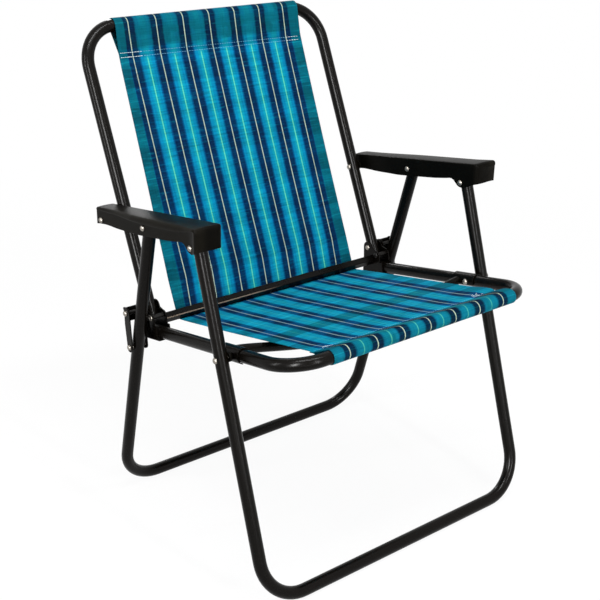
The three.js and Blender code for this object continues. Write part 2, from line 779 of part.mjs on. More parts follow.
// The pocket is as wide as the bar is straight, where that is less than the cloth
const slingPiece = (bar, line, pocketDepth, straightHalf) => {
  const towards = unit(bar, line[0]);
  const beside = [-towards[1], towards[0]];
  const inner = pocketLine(bar, pocketRadius, towards, pocketDepth - clothThick * 2);
  const outer = pocketLine(bar, pocketRadius + clothThick, towards, pocketDepth);
  const sides = panelSides(line, clothThick);
  const outline = [
    ...outer.points,
    ...sides.right,
    ...sides.left.reverse(),
  ];
  const reach = pocketRadius + clothThick + overrun;
  const corner = (along, side) => plus(plus(bar, towards, along), beside, side);
  const cut = [corner(-reach, -reach), corner(pocketDepth, -reach), corner(pocketDepth, reach),
    corner(-reach, reach)];
  return clothBody(outline, [...inner.points, inner.seam], straightHalf, cut);
};

const sagLine = (from, to, sag, steps) => {
  const [dy, dz] = unit(from, to);
  const points = [];
  for (let i = 0; i <= steps; i++) {
    const t = i / steps;
    const drop = sag * 4 * t * (1 - t);
    points.push([mix(from[0], to[0], t) + dz * drop, mix(from[1], to[1], t) - dy * drop]);
  }
  return points;
};

// The cloth hangs from the top bar, goes behind and under the cross bar and on to the seat's bar
const clothMid = fitGap + clothThick / 2;
const behindCross = plus(crossAt, backAhead, -(crossRadius + clothMid));
const underCross = plus(crossAt, seatUp, -(crossRadius + clothMid));

const slingBack = () => {
  const start = plus(backTop, backAlong, -backPocketDepth);
  const across = minus(behindCross, crossAt);
  const end = plus(plus(crossAt, backAlong, crossBelow + slingPartUp), across);
  const line = sagLine(start, end, -backSag, clothSteps);
  return slingPiece(backTop, line, backPocketDepth, backTopHalf - backBend);
};

const slingSeat = () => {
  const start = plus(seatFront, seatAlong, seatPocketDepth);
  const line = sagLine(start, underCross, seatSag, clothSteps);
  const round = [];
  const from = Math.atan2(underCross[1] - crossAt[1], underCross[0] - crossAt[0]);
  const to = Math.atan2(behindCross[1] - crossAt[1], behindCross[0] - crossAt[0]);
  arcOutline(crossAt, crossRadius + clothMid, from, to, domeSteps).slice(1)
    .forEach((p) => round.push(p));
  const up = plus(behindCross, backAlong, crossBelow);
  return slingPiece(seatFront, [...line, ...round, up], seatPocketDepth,
    seatFrontHalf - seatBend);
};

const geometries = [];
const add = (name, geometry, finish) => geometries.push([name, geometry, finish]);
const addPair = (name, geometry, finish) => {
  add(`${name}_left`, geometry, finish);
  add(`${name}_right`, mirrored(geometry), finish);
};

add("front_leg_frame", frontLegFrame(), steelBlack);
add("rear_leg_frame", rearLegFrame(), steelBlack);
add("seat_frame", seatFrame(), steelBlack);
add("back_frame", backFrame(), steelBlack);
add("rear_cross_bar", crossBar(), steelBlack);
add("under_seat_brace", underSeatBrace(), sheetBlack);
addPair("seat_bracket", seatBracket(), sheetBlack);
addPair("link", link(), sheetBlack);
addPair("armrest", armrest(), armPlastic);
add("sling_back", slingBack(), slingCloth);
add("sling_seat", slingSeat(), slingCloth);

// Rivets, each seated a fit's gap off what it holds
const backIn = (s) => backHalfAt(s) - tubeRadius - fitGap;
const backOut = (s) => backHalfAt(s) + tubeRadius + fitGap;
const armOut = armOuterFace + fitGap;
const armIn = armInnerFace - fitGap;
addPair("arm_rear_rivet", rivetBody(backIn(armPivotUp), armOut, headRadius, headHeight,
  headRadius, headHeight, armRearPivot), rivetSteel);
addPair("arm_rear_washer", ringAlongX(washerRadius, pinHole, backOut(armPivotUp), armIn,
  armRearPivot), bushPlastic);
addPair("arm_middle_rivet", rivetBody(armIn, armOut, headRadius, innerHeadHeight,
  headRadius, headHeight, armMidPivot), rivetSteel);
const legOut = (half) => half + tubeRadius + fitGap;
const legIn = (half) => half - tubeRadius - fitGap;
addPair("arm_front_rivet_outer", stubOut(legOut(frontTopHalf), armOut, armFrontPivot), rivetSteel);
addPair("arm_front_rivet_inner", stubIn(armIn, legIn(frontTopHalf), innerHeadHeight,
  armFrontPivot), rivetSteel);
addPair("back_hinge_pin", rivetBody(bracketIn - fitGap, linkOuterFace + fitGap, headRadius,
  headHeight, headRadius, headHeight, hinge), rivetSteel);
addPair("back_hinge_spacer", ringAlongX(washerRadius, pinHole, bracketOut + fitGap,
  linkInnerFace - fitGap, hinge), bushPlastic);
const linkHalf = rearHalfAt(linkFoot);
addPair("link_rivet_outer", stubOut(legOut(linkHalf), linkOuterFace + fitGap, linkFoot),
  rivetSteel);
addPair("link_rivet_inner", stubIn(linkInnerFace - fitGap, legIn(linkHalf), lowHeadHeight,
  linkFoot), rivetSteel);
const seatHalf = seatHalfAt(seatPivotAlong);
const frontHalf = frontHalfAt(crossing);
const saddleReach = tubeRadius + saddleGap + saddleSheet + fitGap;
addPair("front_leg_rivet", rivetBody(seatHalf - saddleReach, legOut(frontHalf),
  headRadius, headHeight, headRadius, headHeight, crossing), rivetSteel);
addPair("front_leg_bush", ringAlongX(bushRadius, pinHole,
  seatHalf + saddleReach, legIn(frontHalf), crossing), bushPlastic);
addPair("stop_rivet", rivetBody(bracketIn - fitGap, bracketOut + fitGap, headRadius,
  innerHeadHeight, headRadius, lowHeadHeight, stopAt), rivetSteel);

// Stand the part over the origin: centred in Y over its own length
const frontMost = seatFrontY - pocketRadius - clothThick;
const rearMost = backTop[0] + pocketRadius + clothThick;

const chair = new THREE.Group();
chair.name = "folding_chair";
geometries.forEach(([name, geometry, finish]) => {
  geometry.translate(0, -(frontMost + rearMost) / 2, 0);
  const mesh = new THREE.Mesh(geometry, new THREE.MeshStandardMaterial(finish));
  mesh.name = name;
  chair.add(mesh);
});

export default chair;
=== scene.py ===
"""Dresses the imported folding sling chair: smooth tubes, moulded armrests, pressed sheet, rivets,
a striped woven sling with its seams, and a plain studio.

Metres, +Z up. The sitter faces -Y, so the sitter's left is +X.
"""
import logging
import math
from dataclasses import dataclass, field
from enum import Enum
from typing import Any, Iterable, Optional, Sequence, Union

import bmesh
import bpy
from mathutils import Matrix, Quaternion, Vector


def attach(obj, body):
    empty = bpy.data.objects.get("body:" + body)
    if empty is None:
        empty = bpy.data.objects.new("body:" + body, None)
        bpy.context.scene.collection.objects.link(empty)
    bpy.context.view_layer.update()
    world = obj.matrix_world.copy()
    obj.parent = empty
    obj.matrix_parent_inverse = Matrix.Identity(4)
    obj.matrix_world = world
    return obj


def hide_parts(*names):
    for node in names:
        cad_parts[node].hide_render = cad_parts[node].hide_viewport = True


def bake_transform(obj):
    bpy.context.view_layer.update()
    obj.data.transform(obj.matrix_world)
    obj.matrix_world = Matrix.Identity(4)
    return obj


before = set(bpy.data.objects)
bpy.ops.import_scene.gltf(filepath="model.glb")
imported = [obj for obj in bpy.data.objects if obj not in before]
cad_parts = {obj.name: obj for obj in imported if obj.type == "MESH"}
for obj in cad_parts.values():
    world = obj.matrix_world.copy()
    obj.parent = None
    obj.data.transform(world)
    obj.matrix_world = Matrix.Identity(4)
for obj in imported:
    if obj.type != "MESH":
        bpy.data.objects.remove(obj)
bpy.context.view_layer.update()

log = logging.getLogger("chair")

Pair = tuple[float, float]
Triple = tuple[float, float, float]
Hole = tuple[Pair, float]
Number = Union[int, float, "Value"]

# Places in side view, as y and z in metres
SEAT_FRONT: Pair = (-0.26270, 0.37410)
SEAT_ALONG: Pair = (0.980666, -0.195689)
SEAT_UP: Pair = (0.195689, 0.980666)
HINGE: Pair = (0.08830, 0.33970)
STOP: Pair = (0.06744, 0.33173)
LINK_FOOT: Pair = (0.08086, 0.28639)
CROSSING: Pair = (-0.14131, 0.34988)
CROSS_BAR: Pair = (0.07880, 0.32000)
ARM_REAR: Pair = (0.14664, 0.47048)
ARM_MIDDLE: Pair = (0.02714, 0.49178)
ARM_FRONT: Pair = (-0.09346, 0.49758)
BACK_TOP: Pair = (0.26270, 0.73066)
TUBE_RADIUS = 0.009525
CLOTH_HALF = 0.180
UV_MAP = "cloth_flat"
SHARP = 38.0
ALL_SMOOTH = 180.0


class Side(Enum):
    """A side of the chair, as the sitter has it."""

    LEFT = 1
    RIGHT = -1

    @property
    def tag(self) -> str:
        """The word that ends the names of this side's pieces."""
        return self.name.lower()


def smooth(low: float, high: float, x: float) -> float:
    """Rises from 0 at low to 1 at high, level at both ends.

    Args:
        low: where the rise starts.
        high: where it ends.
        x: the place asked for.

    Returns:
        The height there, 0 to 1.
    """
    t = min(max((x - low) / (high - low), 0.0), 1.0)
    return t * t * (3 - 2 * t)


def seat_place(along: float, up: float) -> Pair:
    """A place in side view from the seat's front bar.

    Args:
        along: metres back along the seat's tubes.
        up: metres square to them.

    Returns:
        Its y and z.
    """
    return (
        SEAT_FRONT[0] + SEAT_ALONG[0] * along + SEAT_UP[0] * up,
        SEAT_FRONT[1] + SEAT_ALONG[1] * along + SEAT_UP[1] * up,
    )


def polar(centre: Pair, radius: float, angle: float) -> Pair:
    """The place in side view at a distance from another one, at an angle in radians."""
    return (centre[0] + radius * math.cos(angle), centre[1] + radius * math.sin(angle))


def arc(centre: Pair, radius: float, start: float, end: float, steps: int) -> list[Pair]:
    """Points of an arc in side view.

    Args:
        centre: its middle.
        radius: its radius.
        start: the angle that it starts at, in radians.
        end: the angle that it ends at.
        steps: in how many steps.

    Returns:
        The points.
    """
    return [polar(centre, radius, start + (end - start) * i / steps) for i in range(steps + 1)]


def along_table(rows: Sequence[Sequence[float]], x: float) -> list[float]:
    """Reads a table of stations between its rows, softly.

    Args:
        rows: stations in order, each with its place first and its values after it.
        x: the place asked for.

    Returns:
        The values there.
    """
    if x <= rows[0][0]:
        return list(rows[0][1:])
    for before, after in zip(rows, rows[1:]):
        if x <= after[0]:
            t = (x - before[0]) / (after[0] - before[0])
            return [a + (b - a) * t for a, b in zip(before[1:], after[1:])]
    return list(rows[-1][1:])


# Shader arithmetic


class Value:
    """A float socket, or what an expression on one gives."""

    def __init__(self, board: "Board", socket: bpy.types.NodeSocket) -> None:
        """Keeps the board that the socket is on."""
        self.board = board
        self.socket = socket

    def _sum(self, operation: str, *terms: Number) -> "Value":
        """Adds one Math node.

        Args:
            operation: the Math node's operation.
            terms: its inputs in order, numbers or values.

        Returns:
            What the node gives.
        """
        node = self.board.node("ShaderNodeMath", {"operation": operation}, dict(enumerate(terms)))
        return Value(self.board, node.outputs[0])

    def __add__(self, other: Number) -> "Value":
        """self + other."""
        return self._sum("ADD", self, other)

    def __radd__(self, other: Number) -> "Value":
        """other + self."""
        return self._sum("ADD", other, self)

    def __sub__(self, other: Number) -> "Value":
        """self - other."""
        return self._sum("SUBTRACT", self, other)

    def __rsub__(self, other: Number) -> "Value":
        """other - self."""
        return self._sum("SUBTRACT", other, self)

    def __mul__(self, other: Number) -> "Value":
        """self * other."""
        return self._sum("MULTIPLY", self, other)

    def __rmul__(self, other: Number) -> "Value":
        """other * self."""
        return self._sum("MULTIPLY", other, self)

    def __truediv__(self, other: Number) -> "Value":
        """self / other."""
        return self._sum("DIVIDE", self, other)

    def __rtruediv__(self, other: Number) -> "Value":
        """other / self."""
        return self._sum("DIVIDE", other, self)

    def __abs__(self) -> "Value":
        """abs(self)."""
        return self._sum("ABSOLUTE", self)

    def __pow__(self, other: Number) -> "Value":
        """self ** other."""
        return self._sum("POWER", self, other)

    def part(self) -> "Value":
        """What is left over above the whole number below."""
        return self._sum("FRACT", self)

    def wave(self) -> "Value":
        """The sine."""
        return self._sum("SINE", self)

    def least(self, other: Number) -> "Value":
        """The lesser of the two."""
        return self._sum("MINIMUM", self, other)

    def most(self, other: Number) -> "Value":
        """The greater of the two."""
        return self._sum("MAXIMUM", self, other)

    def rise(self, low: float, high: float) -> "Value":
        """A soft step.

        Args:
            low: where it is still 0.
            high: where it is 1. A high below low makes the step fall.

        Returns:
            0 to 1 between the two.
        """
        down = high < low
        first, last = (high, low) if down else (low, high)
        settings = {"interpolation_type": "SMOOTHSTEP", "clamp": True}
        values = {"Value": self, "From Min": first, "From Max": last}
        values |= {"To Min": float(down), "To Max": float(not down)}
        node = self.board.node("ShaderNodeMapRange", settings, values)
        return Value(self.board, node.outputs["Result"])

    def band(self, centre: Number, half: float, soft: float) -> "Value":
        """A soft-edged band.

        Args:
            centre: the middle of the band.
            half: half its width.
            soft: how far its edges fade.

        Returns:
            1 in the band, 0 outside.
        """
        return abs(self - centre).rise(half + soft, half)


@dataclass(frozen=True)
class Colour:
    """A colour written as red, green and blue from 0 to 255, as a screen shows it."""

    red: float
    green: float
    blue: float

    def linear(self) -> tuple[float, float, float, float]:
        """The light that it stands for.

        Returns:
            Red, green and blue from 0 to 1, and full alpha.
        """
        parts = []
        for c in (self.red, self.green, self.blue):
            s = c / 255
            parts.append(s / 12.92 if s <= 0.04045 else ((s + 0.055) / 1.055) ** 2.4)
        return (parts[0], parts[1], parts[2], 1.0)


WHITE = Colour(255, 255, 255)


class Board:
    """The nodes of one material, or of the world."""

    def __init__(self, owner: Union[bpy.types.Material, bpy.types.World]) -> None:
        """Clears the nodes.

        Args:
            owner: the material or world that they belong to.
        """
        owner.use_nodes = True
        self.owner = owner
        self.tree = owner.node_tree
        self.tree.nodes.clear()

    def node(
        self, kind: str, settings: dict[str, Any], values: dict[Union[str, int], Any]
    ) -> bpy.types.Node:
        """Adds a node.

        Args:
            kind: the node's type.
            settings: its own settings, which are set first.
            values: its inputs by name, identifier or number: a number, a colour, or what to link.

        Returns:
            The node.
        """
        node = self.tree.nodes.new(kind)
        for key, setting in settings.items():
            setattr(node, key, setting)
        for key, value in values.items():
            socket = self._input(node, key)
            if isinstance(value, Value):
                self.tree.links.new(value.socket, socket)
            elif isinstance(value, bpy.types.NodeSocket):
                self.tree.links.new(value, socket)
            elif isinstance(value, Colour):
                socket.default_value = value.linear()
            else:
                socket.default_value = value
        return node

    @staticmethod
    def _input(node: bpy.types.Node, key: Union[str, int]) -> bpy.types.NodeSocket:
        """Finds an input.

        Args:
            node: the node.
            key: the input's number, identifier or name.

        Returns:
            The socket.
        """
        if isinstance(key, int):
            return node.inputs[key]
        for socket in node.inputs:
            if socket.identifier == key:
                return socket
        return next(s for s in node.inputs if s.name == key and s.enabled)

    @staticmethod
    def _shown(node: bpy.types.Node) -> bpy.types.NodeSocket:
        """The one output that a node's settings leave in use."""
        return next(s for s in node.outputs if s.enabled)

    def place(self) -> tuple[Value, Value, Value]:
        """Where a point is on the chair.

        Returns:
            Its x, y and z in metres.
        """
        coords = self.node("ShaderNodeTexCoord", {}, {})
        parts = self.node("ShaderNodeSeparateXYZ", {}, {0: coords.outputs["Object"]})
        return tuple(Value(self, s) for s in parts.outputs)

    def cloth_place(self, name: str) -> tuple[Value, Value]:
        """Where a point is on the cloth laid flat.

        Args:
            name: the UV map, which holds metres across and along the cloth.

        Returns:
            Metres across and along.
        """
        uv = self.node("ShaderNodeUVMap", {"uv_map": name}, {})
        parts = self.node("ShaderNodeSeparateXYZ", {}, {0: uv.outputs["UV"]})
        return Value(self, parts.outputs[0]), Value(self, parts.outputs[1])

    def vector(self, x: Number, y: Number, z: Number) -> bpy.types.NodeSocket:
        """One vector from three numbers or values."""
        return self.node("ShaderNodeCombineXYZ", {}, {0: x, 1: y, 2: z}).outputs[0]

    def noise(
        self, scale: float, vector: Optional[bpy.types.NodeSocket] = None, detail: float = 2.0
    ) -> Value:
        """Soft random patches.

        Args:
            scale: patches to the metre.
            vector: where they are read, or None for places on the chair.
            detail: how many finer layers.

        Returns:
            0 to 1, mostly near the half.
        """
        where = vector or self.node("ShaderNodeTexCoord", {}, {}).outputs["Object"]
        values = {"Vector": where, "Scale": scale, "Detail": detail}
        return Value(self, self.node("ShaderNodeTexNoise", {}, values).outputs["Fac"])

    def mix(self, share: Number, first: Any, second: Any) -> bpy.types.NodeSocket:
        """A colour between two.

        Args:
            share: how much of the second.
            first: a colour or its socket.
            second: a colour or its socket.

        Returns:
            The mixed colour.
        """
        values = {"Factor_Float": share, "A_Color": first, "B_Color": second}
        return self._shown(self.node("ShaderNodeMix", {"data_type": "RGBA"}, values))

    def shaded(self, share: Number, colour: Any, shade: Colour) -> bpy.types.NodeSocket:
        """A colour multiplied by a shade, as far as share says.

        Args:
            share: how much of the shade.
            colour: a colour or its socket.
            shade: what it is multiplied by.

        Returns:
            The shaded colour.
        """
        values = {"Factor_Float": share, "A_Color": colour, "B_Color": shade}
        settings = {"data_type": "RGBA", "blend_type": "MULTIPLY"}
        return self._shown(self.node("ShaderNodeMix", settings, values))

    def bump(self, height: Value, distance: float, strength: float) -> bpy.types.NodeSocket:
        """Small relief.

        Args:
            height: 0 to 1 over the surface.
            distance: how high 1 stands, in metres.
            strength: how much of it is shown.

        Returns:
            The normal.
        """
        values = {"Height": height, "Distance": distance, "Strength": strength}
        return self.node("ShaderNodeBump", {}, values).outputs["Normal"]

    def background_rays(self) -> Value:
        """Tells rays that show the background: from the camera, off gloss and through glass.

        Returns:
            1 for such a ray, otherwise 0.
        """
        path = self.node("ShaderNodeLightPath", {}, {})
        kinds = ("Camera", "Glossy", "Transmission")
        camera, gloss, glass = (Value(self, path.outputs[f"Is {kind} Ray"]) for kind in kinds)
        return camera.most(gloss).most(glass)

    def surface(self, values: dict[str, Any]) -> bpy.types.Material:
        """Ends the material in one Principled shader.

        Args:
            values: the shader's inputs.

        Returns:
            The material.
        """
        shader = self.node("ShaderNodeBsdfPrincipled", {}, values)
        self.node("ShaderNodeOutputMaterial", {}, {"Surface": shader.outputs["BSDF"]})
        return self.owner


# Finishes


@dataclass(frozen=True)
class BlackEnamel:
    """Baked black enamel on steel tube or sheet."""

    name: str
    colour: Colour = Colour(8, 6, 4)
    dust: Colour = Colour(32, 27, 22)
    dust_share: float = 0.06
    scuff_share: float = 0.10
    gloss_from: float = 0.20
    gloss_to: float = 0.29
    specular: float = 0.10
    peel: float = 0.00003
    # Patches to the metre
    cloud_scale: float = 22.0
    dust_scale: float = 320.0
    peel_scale: float = 1400.0
    scuff_scales: Triple = (900.0, 70.0, 45.0)
    # A painted highlight: a grey line for a lamp's reflection along an edge across the chair: its
    # place in side view, half its width, and the x from where and up to where it grows
    rubbed_at: Optional[Pair] = None
    rubbed: Colour = Colour(128, 114, 100)
    rubbed_half: float = 0.0007
    rubbed_x: Pair = (0.02, -0.05)

    def material(self) -> bpy.types.Material:
        """Makes patchy gloss, fine orange peel, a film of dust and a few scuffs.

        Returns:
            The material.
        """
        b = Board(bpy.data.materials.new(self.name))
        x, y, z = b.place()
        cloud = b.noise(self.cloud_scale, detail=3.0)
        fine = b.noise(self.dust_scale, detail=2.0)
        spread = b.vector(*(place * scale for place, scale in zip((x, y, z), self.scuff_scales)))
        scuff = b.noise(1.0, spread, detail=1.0).rise(0.68, 0.76)
        film = (cloud.rise(0.45, 0.75) * 0.6 + fine.rise(0.55, 0.8) * 0.4) * self.dust_share
        base = b.mix((film + scuff * self.scuff_share).least(1.0), self.colour, self.dust)
        # Painted highlight: a grey line along the bar's front edge stands in for a lamp's
        # reflection, fading across the chair
        if self.rubbed_at is not None:
            off_y, off_z = y - self.rubbed_at[0], z - self.rubbed_at[1]
            gap = (off_y * off_y + off_z * off_z) ** 0.5
            painted_line = gap.rise(self.rubbed_half * 2, self.rubbed_half) * x.rise(*self.rubbed_x)
            base = b.mix(painted_line * (0.55 + fine * 0.5).least(1.0), base, self.rubbed)
        span = self.gloss_to - self.gloss_from
        rough = self.gloss_from + span * (cloud * 0.6 + fine * 0.4) + scuff * 0.1
        return b.surface({
            "Base Color": base,
            "Roughness": rough,
            "Specular IOR Level": self.specular,
            "Normal": b.bump(b.noise(self.peel_scale, detail=1.0), self.peel, 0.5),
        })


@dataclass(frozen=True)
class RivetSteel:
    """Plated steel of the rivets, dulled and scuffed, with black paint where the spray reached.

    The paint lies between two distances from the chair's middle, and a plain rivet has none.
    """

    name: str = "plated_rivet_steel"
    colour: Colour = Colour(150, 145, 137)
    dull: Colour = Colour(76, 70, 64)
    paint: Colour = Colour(14, 12, 10)
    painted_from: float = -1.0
    painted_to: float = -1.0
    paint_edge: float = 0.0002
    specular: float = 0.17
    blotch_scale: float = 420.0
    scuff_scale: float = 2600.0
    scuff_depth: float = 0.00005

    def material(self) -> bpy.types.Material:
        """Makes blotchy plating with fine scuffs, and paint on the shaft.

        Returns:
            The material.
        """
        b = Board(bpy.data.materials.new(self.name))
        x, _, _ = b.place()
        blotch = b.noise(self.blotch_scale, detail=3.0).rise(0.35, 0.7)
        scuff = b.noise(self.scuff_scale, detail=2.0)
        out = abs(x) + (scuff - 0.5) * self.paint_edge
        painted = out.rise(self.painted_from, self.painted_from + self.paint_edge)
        painted = painted * out.rise(self.painted_to + self.paint_edge, self.painted_to)
        steel = b.mix(blotch * 0.55, self.colour, self.dull)
        return b.surface({
            "Base Color": b.mix(painted, steel, self.paint),
            "Metallic": 0.9 - painted * 0.9,
            "Roughness": 0.26 + blotch * 0.2 + scuff * 0.1,
            "Specular IOR Level": self.specular,
            "Normal": b.bump(scuff, self.scuff_depth, 0.5),
        })


@dataclass(frozen=True)
class MouldedPlastic:
    """Black moulded plastic with a fine grain, its outer faces painted paler as if lit from the
    side.

    The painted light starts at a distance from the chair's middle, and plain plastic has none.
    """

    name: str
    colour: Colour = Colour(7, 6, 4)
    worn: Colour = Colour(20, 18, 13)
    worn_from: float = 9.0
    worn_over: float = 0.012
    rough_from: float = 0.28
    rough_to: float = 0.42
    grain: float = 900.0
    grain_height: float = 0.00006
    cloud_scale: float = 30.0
    speck_scale: float = 1800.0
    specular: float = 0.03

    def material(self) -> bpy.types.Material:
        """Makes pebbled grain, handling marks, and painted light that makes the outer faces paler.

        Returns:
            The material.
        """
        b = Board(bpy.data.materials.new(self.name))
        coords = b.node("ShaderNodeTexCoord", {}, {}).outputs["Object"]
        values = {"Vector": coords, "Scale": self.grain}
        cell = b.node("ShaderNodeTexVoronoi", {"feature": "F1"}, values)
        pebble = Value(b, cell.outputs["Distance"])
        cloud = b.noise(self.cloud_scale, detail=3.0)
        fine = b.noise(self.speck_scale, detail=1.0)
        x, _, _ = b.place()
        # Painted light: the outer faces, far from the chair's middle, are painted paler as if lit;
        # they are a little rougher too
        outside = abs(x).rise(self.worn_from, self.worn_from + self.worn_over)
        marks_and_painted_light = outside * 0.62 + cloud.rise(0.4, 0.75) * 0.16 + fine * 0.08
        span = self.rough_to - self.rough_from
        rough = self.rough_from + span * (cloud * 0.5 + fine * 0.5) + outside * 0.06
        return b.surface({
            "Base Color": b.mix(marks_and_painted_light.least(1.0), self.colour, self.worn),
            "Roughness": rough,
            "Specular IOR Level": self.specular,
            "Normal": b.bump(pebble, self.grain_height, 0.7),
        })


class ClothSpot:
    """A point of the cloth laid flat, and all that more than one part of the pattern reads there.

    near is how far it is from the nearest cream pinstripe, edge from the cloth's middle, from_top
    from the top bar and from_front from the front bar, in metres. The rest are shares, 0 to 1.
    """

    def __init__(self, board: Board, cloth: "StripedCloth") -> None:
        """Works them out.

        Args:
            board: the nodes of the cloth's material.
            cloth: the cloth's sizes.
        """
        self.board = board
        self.colour: Union[Colour, bpy.types.NodeSocket] = cloth.blue
        self.u, self.v = board.cloth_place(cloth.uv_map)
        # Yarns wander a little, so no stripe's edge is ruled
        across = self.u + (self.grain(12.0, 3.0, 0.0, 1.0) - 0.5) * cloth.drift
        fray = (self.grain(60.0, 420.0, 3.0) - 0.5) * cloth.fray
        self.near = abs((across / cloth.pitch + 0.5).part() - 0.5) * cloth.pitch
        self.edge = abs(across)
        border = cloth.half - cloth.border
        self.striped = self.edge.rise(border + cloth.border_soft, border - cloth.border_soft)
        self.border = self.striped.rise(1.0, 0.0)
        self.on_seat = self.v.rise(cloth.fold_half, -cloth.fold_half)
        self.from_top = cloth.top_bar_at - self.v
        self.from_front = self.v - cloth.front_bar_at
        self.roll = self.from_front.rise(cloth.roll_to, cloth.roll_from)
        self.wide = self.near + fray + self.on_seat * cloth.seat_narrower
        self.navy = self.wide.rise(cloth.navy_half + 0.0014, cloth.navy_half - 0.0020)
        # Weft: dark and light bands by turns
        back_turn = ((self.from_top - cloth.back_band_at) / cloth.weft_pitch + 0.5).part()
        seat_turn = ((self.from_front - cloth.seat_band_at) / cloth.weft_pitch + 0.5).part()
        self.turn = back_turn + (seat_turn - back_turn) * self.on_seat
        self.dark = self.turn.band(0.5, 0.22, 0.055)
        self.loose = self.grain(34.0, 24.0, 7.0).rise(0.30, 0.62)
        self.streak = self.grain(42.0, 300.0, 9.0)
        self.patch = self.grain(46.0, 38.0, 13.0, 3.0).rise(0.46, 0.66)

    def dye(self, share: Value, colour: Union[Colour, bpy.types.NodeSocket]) -> None:
        """Mixes a share of another colour into this spot's colour."""
        self.colour = self.board.mix(share, self.colour, colour)

    def shade(self, share: Value, tint: Colour) -> None:
        """Tints this spot's colour by a share."""
        self.colour = self.board.shaded(share, self.colour, tint)

    def grain(self, across: float, along: float, layer: float, detail: float = 2.0) -> Value:
        """Soft random patches.

        Args:
            across: patches to the metre across the cloth.
            along: patches to the metre along it.
            layer: a number that sets these patches apart from others.
            detail: how many finer layers.

        Returns:
            0 to 1, mostly near the half.
        """
        where = self.board.vector(self.u * across, self.v * along, layer)
        return self.board.noise(1.0, where, detail)


